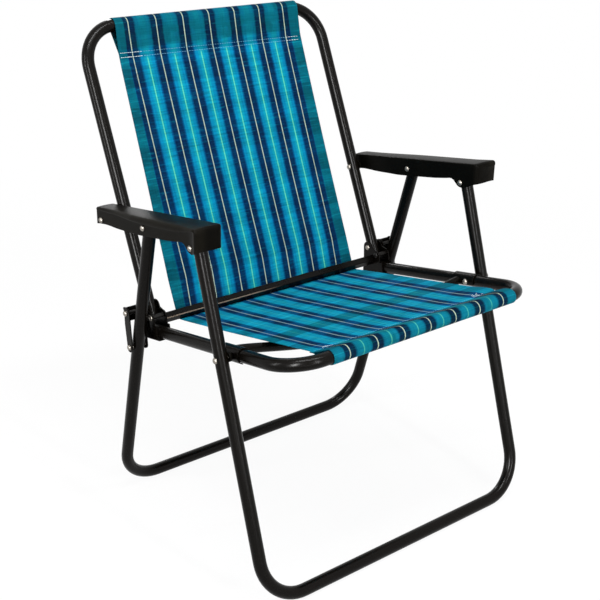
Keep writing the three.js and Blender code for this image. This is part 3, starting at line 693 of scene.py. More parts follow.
@dataclass(frozen=True)
class StripedCloth:
    """Plain-woven polyester with stripes along the cloth and faint bands across it.

    Lengths are metres on the cloth laid flat: across from its middle, along from the rear cross
    bar, up the back above 0 and towards the seat's front below 0. The numbers in the methods are
    shares of a mix, or how far an edge fades.
    """

    name: str = "striped_cloth"
    uv_map: str = UV_MAP
    half: float = CLOTH_HALF
    top_bar_at: float = 0.45
    front_bar_at: float = -0.35
    # Stripes
    pitch: float = 0.0495
    navy_half: float = 0.0112
    seat_narrower: float = 0.0006
    cream_half: float = 0.0006
    green_half: float = 0.0007
    green_inside: float = 0.032
    green_from: float = 0.055
    border: float = 0.0198
    border_soft: float = 0.001
    drift: float = 0.0012
    fray: float = 0.0022
    # Bands across
    fold_half: float = 0.006
    weft_pitch: float = 0.060
    back_band_at: float = 0.144
    seat_band_at: float = 0.0715
    dark_band_at: float = 0.132
    dark_band_half: float = 0.0135
    # Double cloth round the two bars. Painted shade in the top pocket's creases: each crease's
    # place from the top bar, half width, fade, share
    pocket: float = 0.039
    creases: Sequence[Sequence[float]] = ((0.013, 0.006, 0.004, 0.5), (0.031, 0.002, 0.003, 0.4))
    roll_from: float = 0.030
    roll_to: float = 0.034
    roll_crease: Triple = (0.0305, 0.0020, 0.003)
    yarn: float = 0.0011
    weave_depth: float = 0.00016
    specular: float = 0.04
    blue: Colour = Colour(2, 133, 178)
    seat_blue: Colour = Colour(16, 158, 196)
    aqua: Colour = Colour(14, 162, 180)
    navy: Colour = Colour(0, 42, 80)
    mid_blue: Colour = Colour(0, 86, 140)
    teal: Colour = Colour(2, 104, 124)
    dark_teal: Colour = Colour(0, 92, 108)
    pocket_teal: Colour = Colour(2, 84, 98)
    sea_green: Colour = Colour(4, 128, 116)
    cream: Colour = Colour(196, 214, 188)
    lavender: Colour = Colour(150, 184, 196)
    green: Colour = Colour(108, 226, 164)
    dim: Colour = Colour(120, 128, 130)
    band_shade: Colour = Colour(150, 165, 160)
    pocket_shade: Colour = Colour(180, 190, 160)
    roll_shade: Colour = Colour(200, 190, 150)
    yarn_shade: Colour = Colour(150, 158, 162)

    def material(self) -> bpy.types.Material:
        """Makes stripes, weft bands, borders, darker pockets and the weave.

        Returns:
            The material.
        """
        b = Board(bpy.data.materials.new(self.name))
        spot = ClothSpot(b, self)
        for layer in (self._warp, self._weft, self._pocket, self._roll, self._pinstripes):
            layer(spot)

        # Yarns: slubs along both ways, and the light and dark of each crossing
        warp_slub = spot.grain(900.0, 18.0, 0.0)
        weft_slub = spot.grain(22.0, 700.0, 5.0)
        turns = 2 * math.pi / self.yarn
        crossing = (spot.u * turns).wave() * (spot.v * turns).wave()
        shade = (warp_slub - 0.5) * 0.6 + (weft_slub - 0.5) * 0.55 + crossing * 0.12
        spot.shade((shade + 0.28).rise(0.0, 0.9), self.yarn_shade)
        stray = weft_slub.rise(0.64, 0.78) * warp_slub.rise(0.5, 0.7)
        height = 0.5 + crossing * 0.32 + (weft_slub - 0.5) * 0.4 + (warp_slub - 0.5) * 0.3
        spot.dye(stray * 0.26, self.aqua)
        return b.surface({
            "Base Color": spot.colour,
            "Roughness": 0.82 + (weft_slub - 0.5) * 0.2,
            "Specular IOR Level": self.specular,
            "Normal": b.bump(height, self.weave_depth, 0.8),
        })

    def _warp(self, spot: ClothSpot) -> None:
        """Dyes the stripes: blue with an aqua middle, then mid blue, then navy, and teal borders.

        Args:
            spot: the point of the cloth.
        """
        b = spot.board
        aqua = spot.near.rise(0.0165, 0.0215) * (0.75 - spot.on_seat * 0.45)
        spot.colour = b.mix(aqua, b.mix(spot.on_seat, self.blue, self.seat_blue), self.aqua)
        mid = spot.wide.rise(self.navy_half + 0.0034, self.navy_half + 0.0004)
        spot.dye(mid, self.mid_blue)
        # Light weft lets the navy fade, most on the seat
        pale = (1.0 - spot.dark) * (0.08 + spot.on_seat * 0.48) + (spot.streak - 0.45) * 0.34
        pale = (pale * (0.6 + spot.loose * 0.6) * (1.0 - spot.roll * 0.8)).most(0.0)
        spot.dye(spot.navy * (1.0 - pale.least(0.6)), self.navy)
        spot.dye(spot.border, b.mix(spot.on_seat * 0.75, self.teal, self.seat_blue))

    def _weft(self, spot: ClothSpot) -> None:
        """Lays the bands across, with their rows and streaks, and the seat's one darker band.

        Args:
            spot: the point of the cloth.
        """
        depth = 0.13 + spot.border * 0.30 + spot.on_seat * 0.07
        spot.shade(spot.dark * depth, self.dim)
        row = spot.grain(1.5, 95.0, 11.0).rise(0.62, 0.40) * 0.20
        thin = (0.55 - spot.streak).most(0.0) * (1.1 + spot.on_seat * 0.7)
        spot.shade((row + thin).least(0.6), self.dim)
        bright = spot.streak.rise(0.58, 0.74) * 0.28 * (1.0 - spot.navy * 0.5)
        spot.dye(bright, self.aqua)
        band = spot.from_front.band(self.dark_band_at, self.dark_band_half, 0.003)
        spot.dye(band * 0.62 * (1.0 - spot.navy * 0.75), self.dark_teal)
        spot.shade(band * spot.navy * 0.4, self.band_shade)

    def _pocket(self, spot: ClothSpot) -> None:
        """Darkens the top pocket with painted shade, as its double cloth lets no light through,
        paints a shadow below its hem and shade in its creases, and adds green patches.

        Args:
            spot: the point of the cloth.
        """
        top = spot.from_top
        green = 0.08 + spot.on_seat * 0.16 + spot.roll * 0.30 + top.rise(0.050, 0.036) * 0.22
        spot.dye(spot.patch * green * (1.0 - spot.navy * 0.8), self.sea_green)
        pocket = top.rise(self.pocket + 0.003, self.pocket - 0.003)
        shadowed = top.rise(self.pocket + 0.016, self.pocket + 0.010)
        plain = (1.0 - spot.navy) * pocket
        # Painted shadow: a strip just below the pocket's hem
        spot.shade(shadowed * (1.0 - pocket) * 0.30, self.dim)
        # Painted shade: the pocket, whose double cloth lets no light through, is darker and more
        # teal, its navy stripes too
        spot.dye(plain * (0.70 + spot.patch * 0.25), self.pocket_teal)
        # Painted shade in the pocket's creases
        for at, half, soft, share in self.creases:
            spot.dye(plain * top.band(at, half, soft) * share, self.dark_teal)
        spot.shade(spot.navy * pocket * 0.5, self.pocket_shade)

    def _roll(self, spot: ClothSpot) -> None:
        """Darkens the cloth round the front bar with painted shade, more teal, and paints shade in
        the crease where it leaves the bar.

        Args:
            spot: the point of the cloth.
        """
        roll = spot.roll
        # Painted shade: the cloth round the front bar is darker and more teal, most on its navy
        # stripes
        spot.dye(roll * (1.0 - spot.navy) * (0.35 + spot.streak * 0.5), self.teal)
        spot.shade(roll * (0.22 + (0.7 - spot.loose).most(0.0) * 0.4), self.dim)
        spot.shade(roll * spot.navy * 0.5, self.roll_shade)
        # Painted shade in the crease where the cloth leaves the bar
        crease = spot.from_front.band(*self.roll_crease)
        spot.shade(crease * 0.45, self.dim)

    def _pinstripes(self, spot: ClothSpot) -> None:
        """Draws cream and green pinstripes, the cream ones greyer on the seat, and weft threads.

        Args:
            spot: the point of the cloth.
        """
        pin = spot.grain(200.0, 300.0, 1.0, 1.0)
        flat_seat = spot.on_seat * (1.0 - spot.roll)
        thin = spot.near - flat_seat * 0.0004
        cream = thin.rise(self.cream_half + 0.0005, self.cream_half - 0.0001) * spot.striped
        dye = spot.board.mix(flat_seat * (0.55 + spot.loose * 0.45), self.cream, self.lavender)
        spot.dye(cream * (0.56 + pin * 0.34) * (1.0 - flat_seat * 0.22), dye)
        inside = self.half - self.green_inside
        inner = spot.edge.rise(inside + 0.002, inside - 0.002)
        from_middle = self.pitch / 2 - spot.near
        middle = from_middle.rise(self.green_half + 0.0006, self.green_half - 0.0001)
        fade = spot.from_top.rise(self.green_from - 0.003, self.green_from + 0.003)
        green = middle * inner * fade * (1.0 - flat_seat * 0.80) * (1.0 - spot.roll * 0.5)
        spot.dye(green * (0.44 + pin * 0.34), self.green)
        thread = (spot.turn + 0.41).part().band(0.5, 0.008, 0.01)
        spot.dye(thread * (0.05 + spot.border * 0.22), self.aqua)


@dataclass(frozen=True)
class SewingThread:
    """Twisted polyester sewing thread."""

    name: str = "sewing_thread_white"
    colour: Colour = Colour(228, 238, 240)
    shade: Colour = Colour(150, 176, 186)
    twist: float = 0.0007
    ply_depth: float = 0.00008

    def material(self) -> bpy.types.Material:
        """Makes twisted plies in light and shade.

        Returns:
            The material.
        """
        b = Board(bpy.data.materials.new(self.name))
        x, y, z = b.place()
        ply = ((x + y * 0.6 + z) * (2 * math.pi / self.twist)).wave() * 0.5 + 0.5
        return b.surface({
            "Base Color": b.mix(ply * 0.5, self.colour, self.shade),
            "Roughness": 0.6 + ply * 0.15,
            "Normal": b.bump(ply, self.ply_depth, 0.6),
        })


@dataclass(frozen=True)
class StudioFloor:
    """Pale painted floor that keeps a light shadow near the chair and is plain white far off."""

    name: str = "studio_floor"
    colour: Colour = Colour(246, 246, 246)
    speck: Colour = Colour(236, 236, 236)
    speck_scale: float = 60.0
    own_white: float = 0.93
    shadow_to: float = 0.7
    plain_from: float = 2.0

    def material(self) -> bpy.types.Material:
        """Makes matt white, part of it white by itself for the camera and gloss.

        Returns:
            The material.
        """
        b = Board(bpy.data.materials.new(self.name))
        seen = b.background_rays()
        base = b.mix(b.noise(self.speck_scale, detail=2.0) * 0.04, self.colour, self.speck)
        x, y, _ = b.place()
        far = ((x * x + y * y) ** 0.5).rise(self.shadow_to, self.plain_from)
        share = seen * (self.own_white + (1.0 - self.own_white) * far)
        matt = b.node("ShaderNodeBsdfDiffuse", {}, {"Color": base, "Roughness": 0.4})
        white = b.node("ShaderNodeEmission", {}, {"Color": WHITE, "Strength": 1.0})
        values = {0: share, 1: matt.outputs[0], 2: white.outputs[0]}
        mixed = b.node("ShaderNodeMixShader", {}, values)
        b.node("ShaderNodeOutputMaterial", {}, {"Surface": mixed.outputs[0]})
        return b.owner


@dataclass(frozen=True)
class Finishes:
    """The chair's materials, made once."""

    tube: bpy.types.Material
    cross_bar: bpy.types.Material
    sheet: bpy.types.Material
    rivet: bpy.types.Material
    arm: bpy.types.Material
    bush: bpy.types.Material
    cloth: bpy.types.Material
    thread: bpy.types.Material
    blue_thread: bpy.types.Material
    hinge_rivet: bpy.types.Material
    stop_rivet: bpy.types.Material

    @classmethod
    def made(cls, cloth: StripedCloth) -> "Finishes":
        """Makes all of them.

        Args:
            cloth: the sling's stripes.

        Returns:
            The materials.
        """
        return cls(
            tube=BlackEnamel("black_enamel_tube").material(),
            # The cross bar's enamel is a darker copy of the tubes', painted shade against the lamps
            # on its flat upper face, with a painted highlight along its front edge
            cross_bar=BlackEnamel(
                "black_enamel_cross_bar",
                colour=Colour(5, 4, 3),
                dust_share=0.02,
                specular=0.08,
                gloss_from=0.22,
                gloss_to=0.34,
                rubbed_at=CrossBar().front_edge(),
            ).material(),
            sheet=BlackEnamel(
                "black_enamel_sheet", specular=0.07, gloss_from=0.18, gloss_to=0.30
            ).material(),
            rivet=RivetSteel().material(),
            # Painted light: the arms' outer faces are painted paler from this distance from the
            # middle on
            arm=MouldedPlastic("grained_arm_plastic", worn_from=0.262).material(),
            bush=MouldedPlastic(
                "smooth_bush_plastic", grain=1600.0, grain_height=0.00002
            ).material(),
            cloth=cloth.material(),
            thread=SewingThread().material(),
            blue_thread=SewingThread(
                "sewing_thread_blue", Colour(96, 160, 190), Colour(40, 110, 150)
            ).material(),
            hinge_rivet=RivetSteel(
                "part_painted_hinge_pin", painted_from=0.2144, painted_to=0.2690
            ).material(),
            stop_rivet=RivetSteel(
                "part_painted_stop_rivet", painted_from=-0.5, painted_to=0.2386
            ).material(),
        )


# Shaping


def stood(name: str, data: Any) -> bpy.types.Object:
    """Puts a new object into the scene.

    Args:
        name: its name.
        data: its mesh, light or lens.

    Returns:
        The object.
    """
    thing = bpy.data.objects.new(name, data)
    bpy.context.scene.collection.objects.link(thing)
    return thing


class Mould:
    """A bmesh being shaped, and how it becomes a piece of the chair."""

    def __init__(self) -> None:
        """Starts empty."""
        self.bm = bmesh.new()

    def mirror_for(self, side: Side) -> None:
        """Turns a piece made for the sitter's left into the one for the given side."""
        if side is Side.RIGHT:
            bmesh.ops.scale(self.bm, vec=(-1, 1, 1), verts=self.bm.verts)

    def piece(
        self,
        name: str,
        body: Optional[str],
        material: bpy.types.Material,
        slot: str,
        nodes: Sequence[str],
        sharp: float = SHARP,
        recalculate: bool = True,
    ) -> bpy.types.Object:
        """Makes the piece.

        Args:
            name: its name.
            body: the CAD body that it rides on, or None for a piece between two bodies, which rides
                on neither.
            material: its finish.
            slot: the name of that finish's slot; not used.
            nodes: the CAD nodes that it stands for.
            sharp: the angle in degrees from which an edge is sharp.
            recalculate: whether its faces are turned outwards first.

        Returns:
            The piece's object.
        """
        if recalculate:
            bmesh.ops.remove_doubles(self.bm, verts=self.bm.verts, dist=0.000002)
            bmesh.ops.recalc_face_normals(self.bm, faces=self.bm.faces)
        mesh = bpy.data.meshes.new(name)
        self.bm.to_mesh(mesh)
        self.bm.free()
        mesh.shade_smooth()
        mesh.set_sharp_from_angle(angle=math.radians(sharp))
        mesh.materials.append(material)
        piece = stood(name, mesh)
        if body is not None:
            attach(piece, body)
        if nodes:
            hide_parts(*nodes)
        return piece


def settle(piece: bpy.types.Object, sharp: Optional[float]) -> None:
    """Applies a piece's modifiers to its mesh.

    Args:
        piece: the piece.
        sharp: the angle in degrees from which an edge is sharp, or None to keep the shading.
    """
    shaped = piece.evaluated_get(bpy.context.evaluated_depsgraph_get())
    mesh = bpy.data.meshes.new_from_object(shaped)
    piece.modifiers.clear()
    old = piece.data
    piece.data = mesh
    bpy.data.meshes.remove(old)
    if sharp is not None:
        mesh.shade_smooth()
        mesh.set_sharp_from_angle(angle=math.radians(sharp))


def soften(piece: bpy.types.Object, width: float, segments: int = 2, angle: float = 50.0) -> None:
    """Rounds a piece's edges, and lets its large faces rule the shading.

    Args:
        piece: the piece.
        width: how far the rounding reaches on each side of an edge.
        segments: in how many steps.
        angle: the angle in degrees from which an edge is rounded.
    """
    bevel = piece.modifiers.new("edges", "BEVEL")
    bevel.limit_method = "ANGLE"
    bevel.angle_limit = math.radians(angle)
    bevel.width = width
    bevel.segments = segments
    bevel.profile = 0.5
    shade = piece.modifiers.new("shade", "WEIGHTED_NORMAL")
    shade.keep_sharp = False
    settle(piece, sharp=None)


def ring_edges(verts: Iterable[bmesh.types.BMVert]) -> list[bmesh.types.BMEdge]:
    """Finds the edges of a ring.

    Args:
        verts: the ring's vertices.

    Returns:
        The edges that have both ends among them.
    """
    ring = set(verts)
    edges = {e for v in ring for e in v.link_edges}
    return [e for e in edges if e.verts[0] in ring and e.verts[1] in ring]


def verts_in(geometry: Iterable[Any]) -> list[bmesh.types.BMVert]:
    """The vertices in what an operator made."""
    return [g for g in geometry if isinstance(g, bmesh.types.BMVert)]


def drawn_out(
    bm: bmesh.types.BMesh, edges: Sequence[bmesh.types.BMEdge]
) -> list[bmesh.types.BMVert]:
    """Extrudes a ring's edges, and gives the new ring's vertices, still in the same place."""
    return verts_in(bmesh.ops.extrude_edge_only(bm, edges=edges)["geom"])


def skin(mould: Mould, rings: Sequence[Sequence[Vector]]) -> None:
    """Adds a skin drawn through rings, closed at both ends.

    Args:
        mould: where it is shaped.
        rings: the rings from one end to the other, all with as many points.
    """
    bm = mould.bm
    made = bmesh.ops.create_circle(bm, cap_ends=False, segments=len(rings[0]), radius=1.0)
    order = {v: i for i, v in enumerate(made["verts"])}
    start = ring_edges(order)
    for number, ring in enumerate(rings):
        if number > 0:
            fresh = {}
            for v in drawn_out(bm, ring_edges(order)):
                others = (e.other_vert(v) for e in v.link_edges)
                fresh[v] = next(order[other] for other in others if other in order)
            order = fresh
        for v, i in order.items():
            v.co = ring[i]
    bmesh.ops.edgeloop_fill(bm, edges=start)
    bmesh.ops.edgeloop_fill(bm, edges=ring_edges(order))


def turned(mould: Mould, at: Pair, profile: Sequence[Pair], sides: int = 28) -> None:
    """Adds a body turned about a line across the chair.

    Args:
        mould: where it is shaped.
        at: the line's place in side view.
        profile: x and radius from one end to the other.
        sides: how many sides it has.
    """
    angles = [2 * math.pi * i / sides for i in range(sides)]
    skin(mould, [[Vector((x, *polar(at, r, a))) for a in angles] for x, r in profile])


class Flat:
    """A flat face in side view with round holes, the start of a piece of sheet."""

    HOLE_SIDES = 20

    def __init__(
        self, mould: Mould, outline: Sequence[Pair], holes: Sequence[Hole], x: float
    ) -> None:
        """Fills the face.

        Args:
            mould: where it is shaped.
            outline: its corners in order.
            holes: the middle and radius of each hole.
            x: where it stands across the chair.
        """
        self.bm = mould.bm
        self.x = x
        last = 2 * math.pi * (self.HOLE_SIDES - 1) / self.HOLE_SIDES
        rings = [list(outline)]
        rings += [arc(at, radius, 0.0, last, self.HOLE_SIDES - 1) for at, radius in holes]
        edges = []
        for ring in rings:
            made = bmesh.ops.create_circle(self.bm, cap_ends=False, segments=len(ring), radius=1.0)
            for v, (y, z) in zip(made["verts"], ring):
                v.co = Vector((x, y, z))
            edges += list({e for v in made["verts"] for e in v.link_edges})
        filled = bmesh.ops.triangle_fill(self.bm, edges=edges, use_beauty=True, normal=(1, 0, 0))
        self.faces = [g for g in filled["geom"] if isinstance(g, bmesh.types.BMFace)]

    def edge_near(self, first: Pair, last: Pair) -> bmesh.types.BMEdge:
        """Finds an edge by its ends.

        Args:
            first: where one end is, about.
            last: where the other is.

        Returns:
            The nearest edge.
        """
        ends = [Vector((self.x, *first)), Vector((self.x, *last))]
        edges = {e for f in self.faces if f.is_valid for e in f.edges}

        def gap(e: bmesh.types.BMEdge) -> float:
            """How far the edge's ends are from the places, whichever way round."""
            a, b = (v.co for v in e.verts)
            return min((a - p).length + (b - q).length for p, q in (ends, ends[::-1]))

        return min(edges, key=gap)


def channel(
    mould: Mould,
    outline: Sequence[Pair],
    holes: Sequence[Hole],
    across: Pair,
    fold: tuple[Pair, Pair],
    radius: float,
) -> None:
    """Adds folded sheet: two flanges and the floor between them, as a skin without thickness.

    Args:
        mould: where it is shaped.
        outline: a flange's corners in side view.
        holes: the middle and radius of each hole.
        across: where the two flanges' outer faces stand.
        fold: the two corners that the floor joins.
        radius: how round the folds are.
    """
    flanges = [Flat(mould, outline, holes, x) for x in across]
    edges = [flange.edge_near(*fold) for flange in flanges]
    made = bmesh.ops.contextual_create(mould.bm, geom=edges)["faces"]
    floor_edges = [e for e in made[0].edges if abs(e.verts[0].co.x - e.verts[1].co.x) < 0.0001]
    bmesh.ops.recalc_face_normals(mould.bm, faces=mould.bm.faces)
    far = next(f for f in flanges[1].faces if f.is_valid)
    if far.normal.x < 0:
        bmesh.ops.reverse_faces(mould.bm, faces=mould.bm.faces)
    bmesh.ops.bevel(
        mould.bm,
        geom=floor_edges,
        offset=radius,
        offset_type="OFFSET",
        segments=4,
        profile=0.5,
        affect="EDGES",
        clamp_overlap=False,
        material=-1,
    )


class Pipe:
    """A round tube drawn out ring by ring."""

    def __init__(
        self, mould: Mould, at: Vector, along: Vector, radius: float, sides: int = 40
    ) -> None:
        """Starts the tube.

        Args:
            mould: where it is shaped.
            at: the middle of its first ring.
            along: the way it goes.
            radius: its outer radius.
            sides: how many sides its rings have.
        """
        self.bm = mould.bm
        self.at = at.copy()
        self.along = along.normalized()
        self.radius = radius
        turn = self.along.to_track_quat("Z", "X").to_matrix().to_4x4()
        place = Matrix.Translation(at) @ turn
        ring = bmesh.ops.create_circle(
            self.bm, cap_ends=False, segments=sides, radius=radius, matrix=place
        )
        self.verts = ring["verts"]
        self.first = ring_edges(self.verts)

    def to(self, at: Vector, along: Vector) -> "Pipe":
        """Draws the tube on.

        Args:
            at: the middle of the next ring.
            along: the way it faces.

        Returns:
            The pipe itself.
        """
        self.verts = drawn_out(self.bm, ring_edges(self.verts))
        turn = self.along.rotation_difference(along.normalized()).to_matrix().to_4x4()
        move = Matrix.Translation(at) @ turn @ Matrix.Translation(-self.at)
        bmesh.ops.transform(self.bm, matrix=move, verts=self.verts)
        self.at, self.along = at.copy(), along.normalized()
        return self

    def straight(self, length: float) -> "Pipe":
        """Draws it straight on by a length."""
        return self.to(self.at + self.along * length, self.along)

    def bend(self, centre: Vector, axis: Vector, angle: float, steps: int = 14) -> "Pipe":
        """Bends it.

        Args:
            centre: the middle of the bend.
            axis: what it turns about.
            angle: how far, in radians.
            steps: in how many steps.

        Returns:
            The pipe itself.
        """
        made = bmesh.ops.spin(
            self.bm,
            geom=self.verts + ring_edges(self.verts),
            cent=centre,
            axis=axis,
            angle=angle,
            steps=steps,
            use_merge=False,
            use_duplicate=False,
        )
        self.verts = verts_in(made["geom_last"])
        turn = Quaternion(axis, angle)
        self.at = centre + turn @ (self.at - centre)
        self.along = turn @ self.along
        return self

    def caps(self) -> None:
        """Closes both ends flat."""
        for edges in (self.first, ring_edges(self.verts)):
            bmesh.ops.edgeloop_fill(self.bm, edges=edges)

    def mouths(self, start: Vector, outward: Vector, wall: float, depth: float = 0.03) -> None:
        """Opens both ends: a rounded rim, the wall, and the bore as far as it is seen.

        Args:
            start: the middle of the first ring.
            outward: the way that this end faces.
            wall: the tube's wall.
            depth: how deep the bores go.
        """
        rim = wall * 0.3
        first = (self.first, start, outward.normalized())
        for edges, at, way in (first, (ring_edges(self.verts), self.at, self.along)):
            for inset, rise in ((rim, rim), (wall, rim), (wall, -depth)):
                verts = drawn_out(self.bm, edges)
                for v in verts:
                    off = v.co - at
                    flat = off - way * off.dot(way)
                    v.co = at + flat.normalized() * (self.radius - inset) + way * rise
                edges = ring_edges(verts)
            bmesh.ops.edgeloop_fill(self.bm, edges=edges)


# Pieces of the chair


@dataclass
class TubeFrame:
    """One U of tube: a bar, two bends and two legs."""

    name: str
    body: str
    bar: Pair
    tip: Pair
    bar_half: float
    tip_half: float
    bend: float
    radius: float = TUBE_RADIUS
    wall: float = 0.0012

    def build(self, finishes: Finishes) -> bpy.types.Object:
        """Draws the tube from the right tip round to the left one.

        Args:
            finishes: the chair's materials.

        Returns:
            The piece.
        """
        mould = Mould()
        left = [Vector((self.bar_half, *self.bar)), Vector((self.tip_half, *self.tip))]
        stops = [Vector((-p.x, p.y, p.z)) for p in reversed(left)] + left
        pipe = Pipe(mould, stops[0], stops[1] - stops[0], self.radius)
        bent = 0.0
        for before, corner, after in zip(stops, stops[1:], stops[2:]):
            back, ahead = (before - corner).normalized(), (after - corner).normalized()
            half = back.angle(ahead) / 2
            inset = self.bend / math.tan(half)
            pipe.straight((corner - before).length - bent - inset)
            centre = corner + (back + ahead).normalized() * (self.bend / math.sin(half))
            pipe.bend(centre, (-back).cross(ahead).normalized(), math.pi - 2 * half)
            bent = inset
        pipe.straight((stops[3] - stops[2]).length - bent)
        pipe.mouths(stops[0], stops[0] - stops[1], self.wall)
        name = f"{self.name}_tube"
        return mould.piece(name, self.body, finishes.tube, "black_tube", [self.name])


@dataclass
class CrossBar:
    """Straight square tube between the brackets, set on edge in the crook of the sling."""

    at: Pair = CROSS_BAR
    half: float = 0.214375
    reach: float = 0.0085
    corner: float = 0.0013
    # Where its front edge points, in degrees from the rear over the top
    edge_way: float = 163.0
    corner_steps: int = 4
    soft_edge: float = 0.0003

    @property
    def _tip(self) -> float:
        """How far its rounded edges are from its middle."""
        return self.reach - self.corner * (math.sqrt(2) - 1)

    def front_edge(self) -> Pair:
        """Where its front edge is in side view."""
        return polar(self.at, self._tip, math.radians(self.edge_way))

    def _section(self, x: float) -> list[Vector]:
        """Its outline: four rounded edges.

        Args:
            x: the place across the chair.

        Returns:
            The outline's points.
        """
        points = []
        for k in range(4):
            way = math.radians(self.edge_way + 90 * k)
            centre = polar(self.at, self._tip - self.corner, way)
            turn = math.pi / 4
            points += arc(centre, self.corner, way - turn, way + turn, self.corner_steps)
        return [Vector((x, y, z)) for y, z in points]

    def build(self, finishes: Finishes) -> bpy.types.Object:
        """Draws the bar.

        Args:
            finishes: the chair's materials.

        Returns:
            The piece.
        """
        mould = Mould()
        skin(mould, [self._section(-self.half), self._section(self.half)])
        name, nodes = "rear_cross_bar_tube", ["rear_cross_bar"]
        piece = mould.piece(name, "seat", finishes.cross_bar, "black_tube", nodes, ALL_SMOOTH)
        soften(piece, self.soft_edge)
        return piece


@dataclass
class Armrest:
    """Moulded channel, open below, whose top rolls over its outer side and flares to its nose."""

    rear_end: float = 0.16104
    length: float = 0.284
    nose_at: float = 1.014
    rear_top: float = 0.48768
    rise: float = 0.047
    inner: float = 0.239504
    outer: float = 0.269429
    depth: float = 0.029
    wall: float = 0.0024
    roof: float = 0.003
    crown: float = 0.0006
    inner_round: float = 0.0026
    nose_round: float = 0.0068
    nose_outer_share: float = 0.6
    nose_top_round: float = 0.0068
    rear_round: float = 0.0030
    overhang: float = 0.0004
    roll_share: float = 0.92
    roll_most: float = 0.0058
    tuck: float = 0.0007
    # Shares of the length between which it is hollow, and in how many sections
    hollow_from: float = 0.0126
    hollow_to: float = 0.965
    sections: int = 64
    hollow_edge: float = 0.0001
    nose_solid_at: float = 0.9785
    # Share of the length from the rear; wall depth as a share; the top's flare, the lip's depth and
    # the wall's own flare in millimetres
    stations: Sequence[Sequence[float]] = (
        (0.0, 0.89, 0.0, 3.0, 0.0), (0.04, 0.86, 0.0, 3.4, 0.0), (0.1, 0.85, 0.3, 4.0, 0.0),
        (0.15, 0.88, 0.8, 4.6, 0.0), (0.2, 0.93, 1.9, 5.0, 0.0), (0.25, 0.96, 3.2, 5.3, 0.0),
        (0.3, 0.98, 4.9, 5.8, 0.0), (0.4, 1.03, 8.0, 7.0, 0.0), (0.5, 1.02, 9.5, 8.0, 0.0),
        (0.6, 1.0, 10.2, 8.4, 0.0), (0.7, 0.98, 10.6, 8.5, 0.0), (0.78, 0.93, 10.9, 8.3, 0.0),
        (0.82, 0.89, 11.1, 8.0, 0.1), (0.84, 0.93, 11.2, 7.7, 0.2), (0.86, 1.12, 11.3, 7.3, 0.3),
        (0.88, 1.31, 11.5, 6.7, 0.4), (0.9, 1.38, 11.7, 6.0, 0.7), (0.92, 1.38, 12.1, 5.2, 1.6),
        (0.94, 1.34, 12.6, 4.4, 3.4), (0.96, 1.28, 13.1, 3.7, 7.0), (0.98, 1.20, 13.7, 3.1, 11.2),
        (1.0, 1.15, 14.2, 2.7, 13.4), (1.014, 1.12, 14.4, 2.5, 14.0),
    )

    def _inset(self, share: float) -> tuple[float, float]:
        """How far an end's rounding takes the section in.

        Args:
            share: the place as a share of the length from the rear end.

        Returns:
            Metres at the sides, and at the top.
        """
        ahead, behind = (self.nose_at - share) * self.length, share * self.length
        side = top = 0.0
        for gap, radius, top_radius in (
            (ahead, self.nose_round, self.nose_top_round),
            (behind, self.rear_round, self.rear_round),
        ):
            if gap < radius:
                side = max(side, radius - math.sqrt(radius**2 - (radius - gap) ** 2))
            if gap < top_radius:
                top = max(top, top_radius - math.sqrt(top_radius**2 - (top_radius - gap) ** 2))
        return side, top

    def _ring(self, share: float, hollow: bool) -> list[Vector]:
        """The section at one place: up the inner side, over the top, down outside, and back within.

        Args:
            share: the place as a share of the length from the rear end.
            hollow: whether the section is open below, or a solid end.

        Returns:
            Its points, for the left arm.
        """
        depth, flare, lip, wall_flare = along_table(self.stations, share)
        flare, lip, wall_flare = flare / 1000, lip / 1000, wall_flare / 1000
        top = self.rear_top + share * self.rise
        bottom = top - depth * self.depth
        side, drop = self._inset(share)
        edge = self.outer + flare + self.overhang
        wall = self.outer + wall_flare
        r_out = min(lip * self.roll_share, self.roll_most)
        r_in = self.inner_round
        points = [(self.inner, bottom + (top - bottom) * t) for t in (0.0, 0.25, 0.5, 0.75)]
        for i in range(6):
            a = i / 5 * math.pi / 2
            points.append((self.inner + r_in * (1 - math.cos(a)), top - r_in * (1 - math.sin(a))))
        reach = edge - r_out - self.inner - r_in
        for i in range(1, 8):
            t = i / 8
            points.append((self.inner + r_in + reach * t, top + self.crown * math.sin(math.pi * t)))
        for i in range(9):
            a = i / 8 * math.pi / 2
            points.append((edge - r_out * (1 - math.sin(a)), top - r_out * (1 - math.cos(a))))
        low = top - lip
        points.append((edge, low))
        tuck = min(self.tuck, (edge - wall) * 0.5)
        points.append((edge - tuck * 0.4, low - tuck * 0.8))
        points.append((edge - tuck, low - tuck))
        lower = low - 0.0010 - flare * 0.10
        points.append((wall + (edge - wall) * 0.25, low - 0.0008 - flare * 0.05))
        points.append((wall + (edge - wall) * 0.06, lower))
        points.append((wall, lower - 0.0016))
        for t in (0.7, 0.4, 0.15, 0.0):
            points.append((wall, bottom + (lower - 0.0016 - bottom) * t))
        roof = top - self.roof if hollow else bottom + 0.0003
        x0, x1 = self.inner + self.wall, wall - self.wall
        points += [(x1, bottom), (x1, roof), (x0, roof), (x0, bottom)]
        y = self.rear_end - share * self.length
        outer_side = side * (self.nose_outer_share if share > 0.5 else 1.0)
        narrow = (edge - outer_side - self.inner - side) / (edge - self.inner)
        lowered = (top - bottom - drop) / (top - bottom)
        start = self.inner + side
        return [
            Vector((start + (x - self.inner) * narrow, y, bottom + (z - bottom) * lowered))
            for x, z in points
        ]

